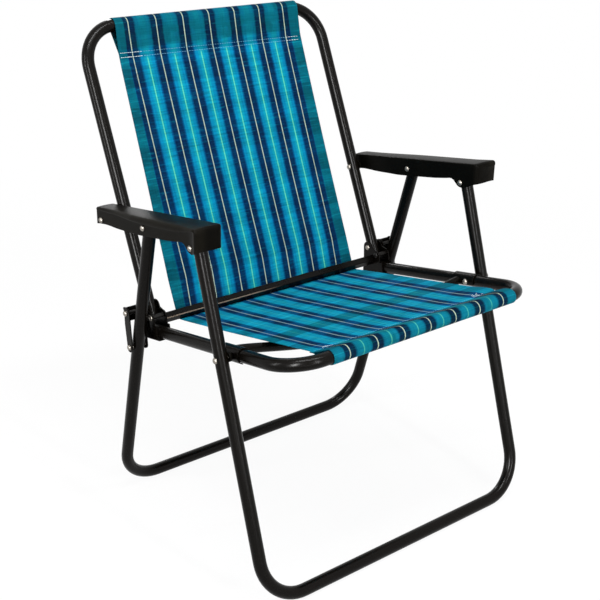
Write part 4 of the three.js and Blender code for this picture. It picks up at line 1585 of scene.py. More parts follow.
    def _shares(self) -> list[tuple[float, bool]]:
        """Places the sections.

        Returns:
            The share of the length of each one, and whether it is hollow.
        """
        nose = [self._back_from_end(self.nose_top_round, i / 6) for i in range(7)]
        shares = [(self._back_from_end(self.rear_round, i / 4), False) for i in range(5)]
        first, last = self.hollow_from, self.hollow_to
        shares += [(first - self.hollow_edge, False), (first, True)]
        steps = [(last - first) * i / self.sections for i in range(1, self.sections + 1)]
        shares += [(first + step, True) for step in steps]
        shares += [(last + self.hollow_edge, False), (self.nose_solid_at, False)]
        shares += [(self.nose_at - gap, False) for gap in reversed(nose)]
        return shares

    def _back_from_end(self, radius: float, t: float) -> float:
        """The share of the length from an end to a place t along its rounding."""
        return radius * (1 - math.cos(math.pi / 2 * t)) / self.length

    def build(self, side: Side, finishes: Finishes) -> bpy.types.Object:
        """Shapes the arm for one side.

        Args:
            side: the side.
            finishes: the chair's materials.

        Returns:
            The piece.
        """
        mould = Mould()
        skin(mould, [self._ring(share, hollow) for share, hollow in self._shares()])
        mould.mirror_for(side)
        name, body, nodes = f"arm_{side.tag}", f"arm_on_{side.tag}", [f"armrest_{side.tag}"]
        return mould.piece(name, body, finishes.arm, "arm_plastic", nodes, sharp=42.0)


@dataclass
class FoldedSheet:
    """Pressed sheet: two flanges with two holes each, and the floor folded between them."""

    inner: float
    outer: float
    fold: float
    sheet: float = 0.002
    hole: float = 0.0035
    soft_edge: float = 0.0004

    def folded(
        self,
        side: Side,
        finishes: Finishes,
        names: tuple[str, str, str],
        outline: Sequence[Pair],
        holes_at: Sequence[Pair],
        floor: tuple[Pair, Pair],
    ) -> bpy.types.Object:
        """Folds the sheet for one side.

        Args:
            side: the side.
            finishes: the chair's materials.
            names: the piece, the body that it rides on, and the CAD node that it stands for.
            outline: a flange's corners in side view.
            holes_at: the middle of each hole.
            floor: the two corners that the floor joins.

        Returns:
            The piece.
        """
        mould = Mould()
        holes = [(at, self.hole) for at in holes_at]
        channel(mould, outline, holes, (self.inner, self.outer), floor, self.fold)
        mould.mirror_for(side)
        if side is Side.RIGHT:
            bmesh.ops.reverse_faces(mould.bm, faces=mould.bm.faces)
        name, body, node = names
        sheet = finishes.sheet
        piece = mould.piece(
            name, body, sheet, "black_sheet", [node], sharp=ALL_SMOOTH, recalculate=False
        )
        wall = piece.modifiers.new("sheet", "SOLIDIFY")
        wall.thickness = self.sheet
        wall.offset = -1.0
        wall.use_even_offset = True
        soften(piece, self.soft_edge)
        return piece


@dataclass
class SeatBracket(FoldedSheet):
    """Sheet channel that clasps the seat tube's rear end and carries the back's hinge."""

    inner: float = 0.214675
    outer: float = 0.238525
    fold: float = 0.0032
    seat_length: float = 0.3686
    length: float = 0.052
    head: float = 0.0105
    rise: float = 0.03495
    overrun: float = 0.002
    clearance: float = 0.0003
    rear_reach: float = 0.0095
    stop_head: float = 0.008
    # How far up the tube the lobe round the stop rivet ends, and its height above the tube
    stop_from: float = 0.32405
    toe: float = 0.001

    def _outline(self) -> list[Pair]:
        """Draws a flange in side view.

        Returns:
            Its corners.
        """
        rear = self.seat_length + self.overrun
        front = rear - self.length
        lean = math.atan2(SEAT_UP[1], SEAT_UP[0])
        low = -(TUBE_RADIUS + self.clearance) - self.sheet
        toe = TUBE_RADIUS + self.toe
        return [
            seat_place(front, low),
            seat_place(rear, low),
            (HINGE[0] + self.rear_reach, HINGE[1] - self.rise / 2),
            *arc(HINGE, self.head, 0.0, math.pi - lean / 8, 16),
            *arc(STOP, self.stop_head, lean, lean + math.pi / 2, 6),
            seat_place(self.stop_from, toe),
            seat_place(front, toe),
        ]

    def build(self, side: Side, finishes: Finishes) -> bpy.types.Object:
        """Folds the bracket for one side.

        Args:
            side: the side.
            finishes: the chair's materials.

        Returns:
            The piece.
        """
        outline = self._outline()
        names = (f"bracket_{side.tag}", "seat", f"seat_bracket_{side.tag}")
        return self.folded(side, finishes, names, outline, (HINGE, STOP), tuple(outline[:2]))


@dataclass
class Link(FoldedSheet):
    """Short sheet channel from the hinge pin down to the rear leg."""

    inner: float = 0.240875
    outer: float = 0.268910
    fold: float = 0.0028
    head: float = 0.010
    foot: float = 0.0075
    web_face: float = 0.0057
    web_from: float = -0.0078
    web_to: float = 0.014
    least_side: float = 0.0003

    def build(self, side: Side, finishes: Finishes) -> bpy.types.Object:
        """Folds the link for one side.

        Args:
            side: the side.
            finishes: the chair's materials.

        Returns:
            The piece.
        """
        down = Vector((LINK_FOOT[0] - HINGE[0], LINK_FOOT[1] - HINGE[1]))
        length = down.length
        down.normalize()
        behind = Vector((-down.y, down.x))
        lean = math.atan2(down.y, down.x)
        spread = math.acos((self.head - self.foot) / length)
        outline = arc(LINK_FOOT, self.foot, lean - spread, lean + spread, 12)
        outline += arc(HINGE, self.head, lean + spread, lean + 2 * math.pi - spread, 20)

        def at(along: float, back: float) -> Pair:
            """A place from the hinge, down the link and behind it."""
            spot = Vector(HINGE) + down * along + behind * back
            return (spot.x, spot.y)

        # Corners as metres down the link and behind it, none behind the web's face
        flat: list[Pair] = []
        for corner in outline:
            off = Vector(corner) - Vector(HINGE)
            spot = (off.dot(down), min(off.dot(behind), self.web_face))
            if not flat or math.dist(spot, flat[-1]) > self.least_side:
                flat.append(spot)
        ends = ((self.web_to, self.web_face), (self.web_from, self.web_face))
        within = [
            i
            for i, (along, back) in enumerate(flat)
            if back == self.web_face and self.web_from < along < self.web_to
        ]
        flat[within[0] : within[-1] + 1] = ends
        names = (f"link_channel_{side.tag}", f"link_on_{side.tag}", f"link_{side.tag}")
        corners = [at(*spot) for spot in flat]
        floor = (at(*ends[1]), at(*ends[0]))
        return self.folded(side, finishes, names, corners, (HINGE, LINK_FOOT), floor)


@dataclass
class Brace:
    """Bowed tube under the seat, with a saddle round each seat tube."""

    along: float = 0.141783
    half: float = 0.228446
    drop: float = 0.034
    radius: float = 0.007
    saddle_inner: float = 0.010125
    saddle_sheet: float = 0.0015
    saddle_length: float = 0.046
    saddle_along: float = 0.130683
    saddle_half: float = 0.228446
    saddle_from: float = -75.0
    saddle_to: float = 205.0
    saddle_steps: int = 30
    bow_power: float = 0.6
    bow_steps: int = 40
    sides: int = 28
    soft_edge: float = 0.0003

    def build(self, finishes: Finishes) -> bpy.types.Object:
        """Draws the tube and bends its saddles.

        Args:
            finishes: the chair's materials.

        Returns:
            The piece.
        """
        mould = Mould()
        y, z = seat_place(self.along, 0.0)
        reach = self.half - self.saddle_inner - self.saddle_sheet / 2
        points = []
        for i in range(self.bow_steps + 1):
            t = -1 + i / (self.bow_steps / 2)
            bow = (1 + math.cos(math.pi * t)) / 2
            points.append(Vector((t * reach, y, z - self.drop * bow**self.bow_power)))
        pipe = Pipe(mould, points[0], points[1] - points[0], self.radius, self.sides)
        for before, here, after in zip(points, points[1:], points[2:]):
            pipe.to(here, after - before)
        pipe.to(points[-1], points[-1] - points[-2])
        pipe.caps()
        for side in Side:
            self._saddle(mould, side)
        nodes = ["under_seat_brace"]
        piece = mould.piece("seat_brace", "seat", finishes.sheet, "black_sheet", nodes, ALL_SMOOTH)
        soften(piece, self.soft_edge)
        return piece

    def _saddle(self, mould: Mould, side: Side) -> None:
        """Bends one saddle: a strip of sheet turned about the seat tube.

        Args:
            mould: where it is shaped.
            side: the side.
        """
        centre = Vector((side.value * self.saddle_half, *seat_place(self.saddle_along, 0.0)))
        run = Vector((0.0, *SEAT_ALONG))
        across = Vector((side.value, 0.0, 0.0))
        up = Vector((0.0, *SEAT_UP))
        outer = self.saddle_inner + self.saddle_sheet
        ends = ((self.saddle_inner, -0.5), (outer, -0.5), (outer, 0.5), (self.saddle_inner, 0.5))
        rings = []
        for i in range(self.saddle_steps + 1):
            turned_by = (self.saddle_to - self.saddle_from) * i / self.saddle_steps
            a = math.radians(self.saddle_from + turned_by)
            way = across * math.cos(a) + up * math.sin(a)
            rings.append([centre + way * r + run * (self.saddle_length * t) for r, t in ends])
        skin(mould, rings)


class Kind(Enum):
    """What a turned piece is."""

    RIVET = "a pin with a head at each end"
    STUB_IN = "a short pin with a head towards the middle of the chair"
    STUB_OUT = "a short pin with a head away from the middle"
    WASHER = "a plastic ring between two pieces of sheet"
    BUSH = "a plastic ring between two tubes"


@dataclass(frozen=True)
class Turning:
    """A rivet, stub, washer or bush: a body turned about a line across the chair."""

    node: str
    body: str
    at: Pair
    kind: Kind
    x_in: float
    x_out: float
    in_height: float = 0.003
    out_height: float = 0.003
    radius: float = 0.0045
    pin: float = 0.0032
    rim_share: float = 0.93
    cut_share: float = 0.9
    sharp: float = 50.0

    @property
    def _ring(self) -> bool:
        """Whether it is a plastic ring."""
        return self.kind in (Kind.WASHER, Kind.BUSH)

    def _profile(self) -> list[Pair]:
        """Draws its profile from the middle of the chair outwards.

        Returns:
            The x and radius of each point.
        """
        if self._ring:
            soft = min(0.0005, (self.x_out - self.x_in) * 0.3)
            rounding = ((0.0, soft), (soft * 0.3, soft * 0.3), (soft, 0.0))
            inner = [(self.x_in + off, self.radius - less) for off, less in rounding]
            return inner + [(self.x_out - off, self.radius - less) for off, less in rounding[::-1]]
        head_in, head_out = self._head(self.in_height), self._head(self.out_height)
        cut = self.pin * self.cut_share
        inner = [(self.x_in - rise, radius) for rise, radius in head_in]
        outer = [(self.x_out + rise, radius) for rise, radius in head_out[::-1]]
        if self.kind is Kind.STUB_OUT:
            inner = [(self.x_in, cut)]
        if self.kind is Kind.STUB_IN:
            outer = [(self.x_out, cut)]
        return inner + outer

    def _head(self, height: float) -> list[Pair]:
        """Draws a domed head and the start of the pin under it.

        Args:
            height: how high the dome is.

        Returns:
            The height above the pin's end and the radius of each point.
        """
        angles = [i / 7 * math.pi / 2 for i in range(1, 8)]
        dome = [(height * math.cos(a), self.radius * math.sin(a)) for a in angles]
        return dome + [(0.0, self.radius * self.rim_share), (0.0, self.pin)]

    def build(self, side: Side, finishes: Finishes) -> bpy.types.Object:
        """Turns it for one side.

        Args:
            side: the side.
            finishes: the chair's materials.

        Returns:
            The piece.
        """
        mould = Mould()
        turned(mould, self.at, self._profile())
        mould.mirror_for(side)
        painted = {"back_hinge_pin": finishes.hinge_rivet, "stop_rivet": finishes.stop_rivet}
        finish = finishes.bush if self._ring else painted.get(self.node, finishes.rivet)
        slot = "bush_plastic" if self._ring else "rivet_steel"
        name, nodes = f"{self.node}_turned_{side.tag}", [f"{self.node}_{side.tag}"]
        body = self.body.replace("SIDE", side.tag)
        return mould.piece(name, body, finish, slot, nodes, self.sharp)


# Where the armrests' inner and outer faces stand across the chair
ARM_IN = 0.239204
ARM_OUT = 0.269729
# Where pins' heads meet the bracket's inner face and the link's two faces
BRACKET_IN = 0.214375
LINK_OUT = 0.269210
LINK_IN = 0.240575
# How high flatter heads are
LOW = 0.0022
LOWEST = 0.0015
TURNINGS = (
    Turning("arm_rear_rivet", "back", ARM_REAR, Kind.RIVET, 0.216218, ARM_OUT),
    Turning("arm_rear_washer", "back", ARM_REAR, Kind.WASHER, 0.235868, ARM_IN, radius=0.0065),
    Turning("arm_middle_rivet", "arm_on_SIDE", ARM_MIDDLE, Kind.RIVET, ARM_IN, ARM_OUT, LOW),
    Turning("arm_front_rivet_outer", "arm_on_SIDE", ARM_FRONT, Kind.STUB_OUT, 0.264054, ARM_OUT),
    Turning("arm_front_rivet_inner", "arm_on_SIDE", ARM_FRONT, Kind.STUB_IN, ARM_IN, 0.244404, LOW),
    Turning("back_hinge_pin", "seat", HINGE, Kind.RIVET, BRACKET_IN, LINK_OUT),
    Turning("back_hinge_spacer", "seat", HINGE, Kind.WASHER, 0.238825, LINK_IN, radius=0.0065),
    Turning("link_rivet_outer", "link_on_SIDE", LINK_FOOT, Kind.STUB_OUT, 0.263560, LINK_OUT),
    Turning("link_rivet_inner", "link_on_SIDE", LINK_FOOT, Kind.STUB_IN, LINK_IN, 0.24391, LOWEST),
    Turning("front_leg_rivet", "seat", CROSSING, Kind.RIVET, 0.216668, 0.264841),
    Turning("front_leg_bush", "seat", CROSSING, Kind.BUSH, 0.240518, 0.245191, radius=0.007),
    Turning("stop_rivet", "seat", STOP, Kind.RIVET, BRACKET_IN, 0.238825, LOW, LOWEST),
)


@dataclass(frozen=True)
class Puckers:
    """Small waves of the cloth beside a seam, which fade away from it."""

    height: float
    fade: float
    # How strong each wave is, how fast it turns across the cloth, and its turn in the middle
    waves: Sequence[Triple]
    reach: float = 0.06
    start: float = 0.004

    def at(self, u: float, away: float) -> float:
        """How far the cloth stands off.

        Args:
            u: metres across the cloth from its middle.
            away: metres from the seam.

        Returns:
            Metres, outwards.
        """
        if not 0 < away < self.reach:
            return 0.0
        wave = sum(share * math.sin(u * rate + turn) for share, rate, turn in self.waves)
        return self.height * wave * math.exp(-away / self.fade) * smooth(0.0, self.start, away)


@dataclass
class Sling:
    """One length of cloth: round the top bar, down behind the cross bar, under it, and out round
    the seat's front bar."""

    top_bar: Pair = BACK_TOP
    front_bar: Pair = SEAT_FRONT
    cross_bar: Pair = CROSS_BAR
    cross_radius: float = 0.0088
    bar_radius: float = 0.0104
    half: float = CLOTH_HALF
    thick: float = 0.0009
    top_seam: float = 0.047
    front_seam: float = 0.034
    hem: float = 0.009
    # How far apart a pocket's layers are at its seam, and the share of that at the hem's end
    layers_apart: float = 0.0012
    hem_share: float = 0.65
    back_sag: float = 0.002
    seat_sag: float = 0.001
    cell: float = 0.0045
    loop_steps: int = 26
    bow_steps: int = 8
    uv_map: str = UV_MAP
    sharp: float = 60.0
    # Metres above the cross bar between which the cloth goes over from the seat to the back
    hinge_from: float = 0.012
    hinge_to: float = 0.10
    top_puckers: Puckers = Puckers(
        0.00022, 0.016, ((1.0, 260, 0.8), (0.6, 437, 2.1), (0.4, 91, 0.0))
    )
    front_puckers: Puckers = Puckers(
        0.00028, 0.018, ((1.0, 231, 1.9), (0.7, 389, 0.4), (0.5, 77, 2.0))
    )
    # The edges lie as the table says, and threads further in than this as the stripes
    edge_from: float = 0.148
    # Metres behind the front bar along the cloth; how far its stripes, its right edge and its left
    # edge lie towards the sitter's left, in millimetres
    lie: Sequence[Sequence[float]] = (
        (0.030, 8.7, 13.4, 5.0), (0.045, 4.5, 14.0, 13.0), (0.065, 2.4, 13.5, 16.0),
        (0.100, 1.8, 12.0, 14.0), (0.160, 0.0, 9.0, 11.0), (0.210, -1.5, 6.0, 9.0),
        (0.226, -2.2, 5.0, 8.0), (0.270, -4.0, 3.0, 5.0), (0.310, -4.8, 1.0, 1.5),
        (0.330, -4.9, 0.0, -0.5), (0.345, -4.9, 0.0, -2.0), (0.360, -4.4, 0.0, -1.0),
        (0.410, 0.0, 0.0, 0.0), (0.450, 0.0, 1.5, 0.0), (0.580, 0.0, 5.0, 0.0),
        (0.660, 0.0, 6.5, 0.0), (0.740, 0.0, 7.5, 0.0), (0.800, 0.0, 9.5, 0.0),
    )
    line: list[Vector] = field(default_factory=list)
    places: list[float] = field(default_factory=list)
    top_at: float = 0.0
    front_at: float = 0.0

    @staticmethod
    def _plane(place: Pair) -> Vector:
        """A side-view place as a vector with x at 0."""
        return Vector((0.0, *place))

    @staticmethod
    def _turned(v: Vector, angle: float) -> Vector:
        """A side-view vector turned about +X."""
        return Matrix.Rotation(angle, 3, "X") @ v

    @staticmethod
    def _mirrored(points: Sequence[Vector], bar: Vector, way: Vector) -> list[Vector]:
        """The points on the other side of the plane that is square to way and holds the bar."""
        return [p - 2 * way * (p - bar).dot(way) for p in points]

    def _pocket(self, bar: Vector, towards: Vector, seam: float) -> list[Vector]:
        """The loop round a bar, from the seam out and back to it.

        Args:
            bar: the bar's middle.
            towards: from the bar to the seam.
            seam: how far that is.

        Returns:
            Points from the outer face's layer round to the layer behind.
        """
        half = math.acos(self.bar_radius / seam)
        aside = self._turned(towards, math.pi / 2) * self.layers_apart
        points = [bar + towards * seam + aside / 2]
        for i in range(self.loop_steps + 1):
            angle = half + (2 * math.pi - 2 * half) * i / self.loop_steps
            points.append(bar + self._turned(towards, angle) * self.bar_radius)
        points.append(bar + towards * seam - aside / 2)
        points.append(bar + towards * (seam + self.hem) - aside * self.hem_share)
        return points

    @staticmethod
    def _hang(
        start: Vector, end: Vector, sag: float, down: Vector, steps: int = 24
    ) -> list[Vector]:
        """Points of a panel between two places, without the first.

        Args:
            start: where it starts.
            end: where it ends.
            sag: how deep it hangs in the middle.
            down: the way that it sags.
            steps: how many points.

        Returns:
            The points, the last one at the end.
        """
        points = []
        for i in range(1, steps + 1):
            t = i / steps
            points.append(start.lerp(end, t) + down * sag * 4 * t * (1 - t))
        return points

    def draw_line(self) -> None:
        """Draws the cloth's middle line in side view, with each point's place along the cloth."""
        top, front = self._plane(self.top_bar), self._plane(self.front_bar)
        cross = self._plane(self.cross_bar)
        down = (cross - top).normalized()
        in_plane = self._turned(down, -math.pi / 2)
        behind_way = in_plane if in_plane.y > 0 else -in_plane
        top_loop = self._pocket(top, down, self.top_seam)
        # The loop starts on the face that the sitter leans on
        if (top_loop[0] - top_loop[-2]).dot(behind_way) > 0:
            top_loop = self._mirrored(top_loop, top, behind_way)
        hem_first = top_loop[::-1]
        behind = cross + behind_way * self.cross_radius
        panel_back = self._hang(hem_first[-1], behind, self.back_sag, behind_way)
        in_plane = self._turned((front - cross).normalized(), math.pi / 2)
        under_way = in_plane if in_plane.z < 0 else -in_plane
        under = cross + under_way * self.cross_radius
        turn_angle = behind_way.angle(under_way)
        axis = behind_way.cross(under_way).normalized()
        bow = []
        for i in range(1, self.bow_steps):
            turn = Quaternion(axis, turn_angle * i / self.bow_steps)
            bow.append(cross + (turn @ behind_way) * self.cross_radius)
        towards = (under - front).normalized()
        front_loop = self._pocket(front, towards, self.front_seam)
        if (front_loop[0] - front_loop[-2]).z < 0:
            front_loop = self._mirrored(front_loop, front, self._turned(towards, math.pi / 2))
        panel_seat = self._hang(under, front_loop[0], self.seat_sag, under_way)
        self.line = hem_first + panel_back + bow + [under] + panel_seat + front_loop[1:]
        lengths = [0.0]
        for a, b in zip(self.line, self.line[1:]):
            lengths.append(lengths[-1] + (b - a).length)
        # Places count from the middle of the bow round the cross bar
        zero_at = lengths[len(hem_first) + len(panel_back) + self.bow_steps // 2 - 1]
        self.places = [zero_at - s for s in lengths]
        self.top_at = self.places[len(hem_first) - 1] + self.top_seam
        self.front_at = self.places[len(self.line) - len(front_loop)] - self.front_seam

    def _at(self, place: float) -> tuple[Vector, Vector]:
        """A place on the middle line.

        Args:
            place: metres along the cloth from the cross bar.

        Returns:
            The point, and the way out of the cloth's upper face there.
        """
        below = (i for i, low in enumerate(self.places[1:-1]) if place >= low)
        i = next(below, len(self.line) - 2)
        high, low = self.places[i : i + 2]
        t = min(max((high - place) / (high - low), 0.0), 1.0)
        run = (self.line[i + 1] - self.line[i]).normalized()
        return self.line[i].lerp(self.line[i + 1], t), self._turned(run, math.pi / 2)

    def across(self, u: float, along: float) -> float:
        """Where a thread of the cloth lies across the chair.

        Args:
            u: metres across the flat cloth from its middle.
            along: metres along it from the cross bar.

        Returns:
            Its x.
        """
        shift, right, left = (mm / 1000 for mm in along_table(self.lie, along - self.front_at))
        edge = right if u < 0 else left
        return u + shift + (edge - shift) * smooth(self.edge_from, self.half, abs(u))

    def place(self, u: float, along: float, height: float = 0.0) -> Vector:
        """A place on the hung cloth.

        Args:
            u: metres across the flat cloth from its middle.
            along: metres along it from the cross bar.
            height: how far out of the cloth's middle.

        Returns:
            The place.
        """
        point, out = self._at(along)
        off = self._pucker(u, along) + height
        return Vector((self.across(u, along), 0, 0)) + point + out * off

    def build(self, finishes: Finishes) -> bpy.types.Object:
        """Lays a grid along the line, with its puckers at the seams.

        Args:
            finishes: the chair's materials.

        Returns:
            The piece.
        """
        total = self.places[0] - self.places[-1]
        columns = round(2 * self.half / self.cell)
        rows = round(total / self.cell)
        mould = Mould()
        bm = mould.bm
        bmesh.ops.create_grid(bm, x_segments=columns, y_segments=rows, size=0.5, calc_uvs=True)
        uv = bm.loops.layers.uv.verify()
        flat = {}
        for v in bm.verts:
            flat[v] = (v.co.x * 2 * self.half, self.places[-1] + (v.co.y + 0.5) * total)
        for v, spot in flat.items():
            v.co = self.place(*spot)
        for f in bm.faces:
            for loop in f.loops:
                loop[uv].uv = flat[loop.vert]
        nodes, cloth = ["sling_back", "sling_seat"], finishes.cloth
        piece = mould.piece("sling", None, cloth, "sling_cloth", nodes, self.sharp, False)
        piece.data.uv_layers[0].name = self.uv_map
        wall = piece.modifiers.new("cloth", "SOLIDIFY")
        wall.thickness = self.thick
        wall.offset = 0.0
        settle(piece, self.sharp)
        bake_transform(piece)
        2 * self.half
        return piece

    def _pucker(self, u: float, along: float) -> float:
        """How far the cloth stands off its middle line.

        Args:
            u: metres across from the middle.
            along: metres along from the cross bar.

        Returns:
            Metres, outwards.
        """
        below_top = self.top_at - self.top_seam - along
        behind_front = along - (self.front_at + self.front_seam)
        off = self.top_puckers.at(u, below_top) + self.front_puckers.at(u, behind_front)
        # Over the tube's bend on the sitter's left the pocket stands up
        lifted = smooth(-0.040, -0.020, behind_front) * (1.0 - smooth(0.010, 0.060, behind_front))
        return off - 0.0024 * smooth(0.120, 0.175, u) * lifted


@dataclass
class Sewing:
    """The threads that show on the sling: seam rows, end tacks and loose ends."""

    sling: Sling
    stitch: float = 0.0036
    pitch: float = 0.0046
    white: float = 0.00044
    blue: float = 0.00030
    sides: int = 5
    # A stitch: places along it, and its height in radii above the cloth or in metres below it
    arch: Sequence[Pair] = (
        (-0.5, -0.0004), (-0.34, 0.25), (0.0, 0.6), (0.34, 0.25), (0.5, -0.0004),
    )
    # How far the two ends of each top row are below the bar, and where those ends are
    top_rows: Sequence[Pair] = ((0.044, 0.050), (0.051, 0.0555))
    top_row_from: float = -0.175
    top_row_width: float = 0.348
    # Threads of a top row: whether white, where it starts and ends, its share of the radius
    top_runs: Sequence[tuple[bool, float, float, float]] = (
        (True, -0.1785, -0.131, 1.0), (False, -0.130, 0.146, 1.0), (True, 0.147, 0.174, 0.9),
    )
    front_row: float = 0.0375
    tacks: int = 4
    loose_ends: Sequence[Pair] = ((-0.156, 0.007), (-0.149, 0.009))
    places: Sequence[float] = (0.0, 0.2, 0.4, 0.6, 0.8, 1.0)

    def _thread(self, mould: Mould, path: Sequence[Triple], radius: float) -> None:
        """Lays one thread on the cloth.

        Args:
            mould: where it is shaped.
            path: across, along and height of each point.
            radius: the thread's.
        """
        below = -self.sling.thick / 2
        spots = [self.sling.place(u, along, below - height) for u, along, height in path]
        angles = [2 * math.pi * k / self.sides for k in range(self.sides)]
        circle = [Vector((radius * math.cos(a), radius * math.sin(a), 0)) for a in angles]
        rings = []
        for i, spot in enumerate(spots):
            run = (spots[min(i + 1, len(spots) - 1)] - spots[max(i - 1, 0)]).normalized()
            turn = run.to_track_quat("Z", "X").to_matrix()
            rings.append([spot + turn @ off for off in circle])
        skin(mould, rings)

    def _row(self, mould: Mould, start: Pair, end: Pair, radius: float) -> None:
        """Sews one straight row.

        Args:
            mould: where it is shaped.
            start: across and along of the row's first end.
            end: across and along of its other end.
            radius: the thread's.
        """
        (u0, a0), (u1, a1) = start, end
        count = max(int((u1 - u0) / self.pitch), 1)
        for i in range(count):
            middle = u0 + (i + 0.5) * (u1 - u0) / count
            path = []
            for t, height in self.arch:
                u = middle + t * self.stitch
                along = a0 + (a1 - a0) * (u - u0) / (u1 - u0)
                path.append((u, along, height * radius if height > 0 else height))
            self._thread(mould, path, radius)

    def _on_top_row(self, u: float, drops: Pair) -> Pair:
        """Across and along of a place on a top row.

        Args:
            u: metres across the cloth.
            drops: how far the row's two ends are below the top bar.

        Returns:
            The place on the flat cloth.
        """
        share = (u - self.top_row_from) / self.top_row_width
        return (u, self.sling.top_at - drops[0] - (drops[1] - drops[0]) * share)

    def _ends(self, mould: Mould) -> None:
        """Lays the tacks at the front pocket's left end, and the loose ends at its right.

        Args:
            mould: where they are shaped.
        """
        front = self.sling.front_at
        for i in range(self.tacks):
            u0, u1 = 0.140 + 0.0030 * i, 0.147 + 0.0034 * i
            a0, a1 = front + 0.0370, front + 0.0480 + 0.0016 * math.sin(i * 2.4)
            path = [(u0 + (u1 - u0) * t, a0 + (a1 - a0) * t**0.8, 0.0002) for t in self.places]
            self._thread(mould, path, self.white * 0.7)
        for i, (u0, reach) in enumerate(self.loose_ends):
            path = []
            for t in self.places:
                along = front + 0.0355 + 0.004 * math.sin(2.6 * t + i)
                path.append((u0 + reach * t, along, 0.0003 + 0.0010 * t * t))
            self._thread(mould, path, self.white * 0.55)

    def build(self, finishes: Finishes) -> list[bpy.types.Object]:
        """Sews all of it.

        Args:
            finishes: the chair's materials.

        Returns:
            The pieces.
        """
        white_top, blue_top, white_front, blue_front = Mould(), Mould(), Mould(), Mould()
        for drops in self.top_rows:
            for is_white, *ends, share in self.top_runs:
                threads, radius = (white_top, self.white) if is_white else (blue_top, self.blue)
                start, end = (self._on_top_row(u, drops) for u in ends)
                self._row(threads, start, end, radius * share)
        row = self.sling.front_at + self.front_row
        self._row(blue_front, (-0.176, row), (0.140, row), self.blue)
        self._row(white_front, (0.142, row), (0.160, row + 0.001), self.white * 0.8)
        self._ends(white_front)
        white, blue = finishes.thread, finishes.blue_thread
        return [
            white_top.piece("top_seam_white", "back", white, "sling_cloth", []),
            blue_top.piece("top_seam_blue", "back", blue, "sling_cloth", []),
            white_front.piece("front_seam_white", "seat", white, "sling_cloth", []),
            blue_front.piece("front_seam_blue", "seat", blue, "sling_cloth", []),
        ]


@dataclass(frozen=True)
class Lamp:
    """A soft lamp that faces the middle of the chair."""

    name: str
    at: Triple
    size: Pair
    watts: float
    # Whether it lights matt surfaces too, or shows in glossy ones alone
    matt: bool = True
    aim: Triple = (0.0, 0.0, 0.4)

    def hang(self) -> None:
        """Hangs it."""
        light = bpy.data.lights.new(self.name, "AREA")
        light.shape = "RECTANGLE"
        light.size, light.size_y = self.size
        light.energy = self.watts
        lamp = stood(self.name, light)
        turn = (Vector(self.aim) - Vector(self.at)).to_track_quat("-Z", "Y").to_matrix()
        lamp.matrix_world = Matrix.Translation(self.at) @ turn.to_4x4()
        lamp.visible_diffuse = self.matt


LAMPS = (
    Lamp("overhead", (-0.2, -0.7, 2.7), (2.0, 0.16), 62.0),
    Lamp("front", (0.1, -2.7, 1.3), (0.18, 1.5), 42.0),
    Lamp("left", (-2.5, 0.5, 1.3), (0.20, 1.5), 28.0),
    Lamp("rear", (0.9, 2.3, 1.7), (0.2, 1.2), 14.0),
    Lamp("low", (-0.5, -2.6, 0.3), (2.2, 0.12), 6.0),
    Lamp("softbox", (-2.3, -1.8, 1.5), (0.5, 1.7), 150.0, matt=False),
)


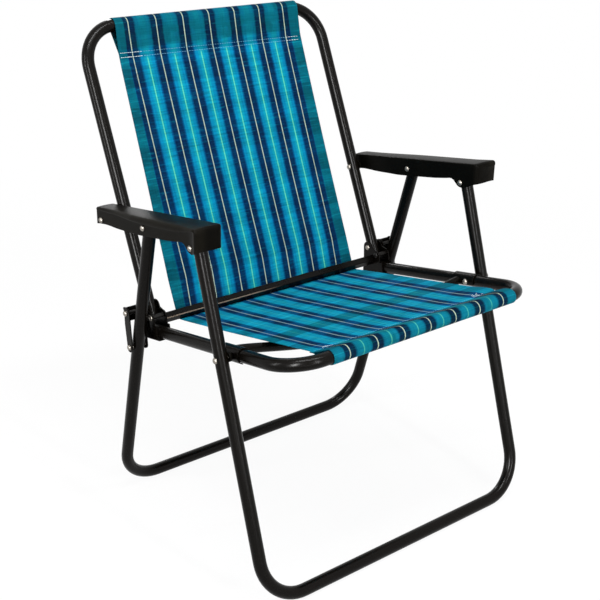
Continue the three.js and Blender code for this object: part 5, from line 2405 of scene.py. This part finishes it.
@dataclass(frozen=True)
class Studio:
    """Floor, lamps, world and the camera at the photograph's place."""

    camera_at: Triple = (-1.02506, -1.26224, 1.01156)
    right: Triple = (0.782265, -0.62274, 0.016025)
    up: Triple = (0.230941, 0.313799, 0.920976)
    back: Triple = (-0.578557, -0.716746, 0.38929)
    lens: float = 67.07
    sensor: float = 36.0
    clip: Pair = (0.05, 60.0)
    floor_half: float = 14.0
    world_light: float = 0.16

    def camera(self) -> None:
        """Makes the camera."""
        lens = bpy.data.cameras.new("camera")
        lens.lens = self.lens
        lens.sensor_width = self.sensor
        lens.clip_start, lens.clip_end = self.clip
        eye = stood("camera", lens)
        turn = Matrix((self.right, self.up, self.back)).transposed()
        eye.matrix_world = Matrix.Translation(self.camera_at) @ turn.to_4x4()
        bpy.context.scene.camera = eye

    def floor(self) -> None:
        """Lays the floor."""
        bm = bmesh.new()
        bmesh.ops.create_grid(bm, x_segments=8, y_segments=8, size=self.floor_half)
        mesh = bpy.data.meshes.new("floor")
        bm.to_mesh(mesh)
        bm.free()
        mesh.materials.append(StudioFloor().material())
        stood("floor", mesh)

    def world(self) -> None:
        """Sets the light all round, and white behind the chair."""
        world = bpy.data.worlds.new("studio")
        bpy.context.scene.world = world
        b = Board(world)
        strength = self.world_light + (1.0 - self.world_light) * b.background_rays()
        white = b.node("ShaderNodeBackground", {}, {"Color": WHITE, "Strength": strength})
        b.node("ShaderNodeOutputWorld", {}, {"Surface": white.outputs[0]})

    def build(self) -> None:
        """Makes all of it."""
        bpy.context.scene.view_settings.view_transform = "Standard"
        self.camera()
        self.floor()
        for lamp in LAMPS:
            lamp.hang()
        self.world()


# Each one's bar and leg tips in side view, half its width at both, and its bend
FRAMES = (
    TubeFrame(
        "front_leg_frame", "front_legs", (-0.25160, 0.00944), (-0.09099, 0.50519),
        0.256829, 0.254188, 0.065,
    ),
    TubeFrame(
        "rear_leg_frame", "rear_legs", (0.15324, 0.00944), (0.02512, 0.49952),
        0.249429, 0.257049, 0.065,
    ),
    TubeFrame("seat_frame", "seat", SEAT_FRONT, (0.09877, 0.30197), 0.2296, 0.2266, 0.052),
    TubeFrame("back_frame", "back", BACK_TOP, (0.08342, 0.32874), 0.2257, 0.226625, 0.060),
)


def main() -> None:
    """Builds the chair's pieces and the studio."""
    logging.basicConfig(level=logging.INFO, format="%(message)s")
    sling = Sling()
    sling.draw_line()
    finishes = Finishes.made(StripedCloth(top_bar_at=sling.top_at, front_bar_at=sling.front_at))
    for tube_frame in FRAMES:
        log.info("made %s", tube_frame.build(finishes).name)
    log.info("made %s", CrossBar().build(finishes).name)
    for side in Side:
        for part in (Armrest(), SeatBracket(), Link(), *TURNINGS):
            log.info("made %s", part.build(side, finishes).name)
    log.info("made %s", Brace().build(finishes).name)
    log.info("made %s", sling.build(finishes).name)
    for threads in Sewing(sling).build(finishes):
        log.info("made %s", threads.name)
    Studio().build()


if __name__ == "__main__":
    main()
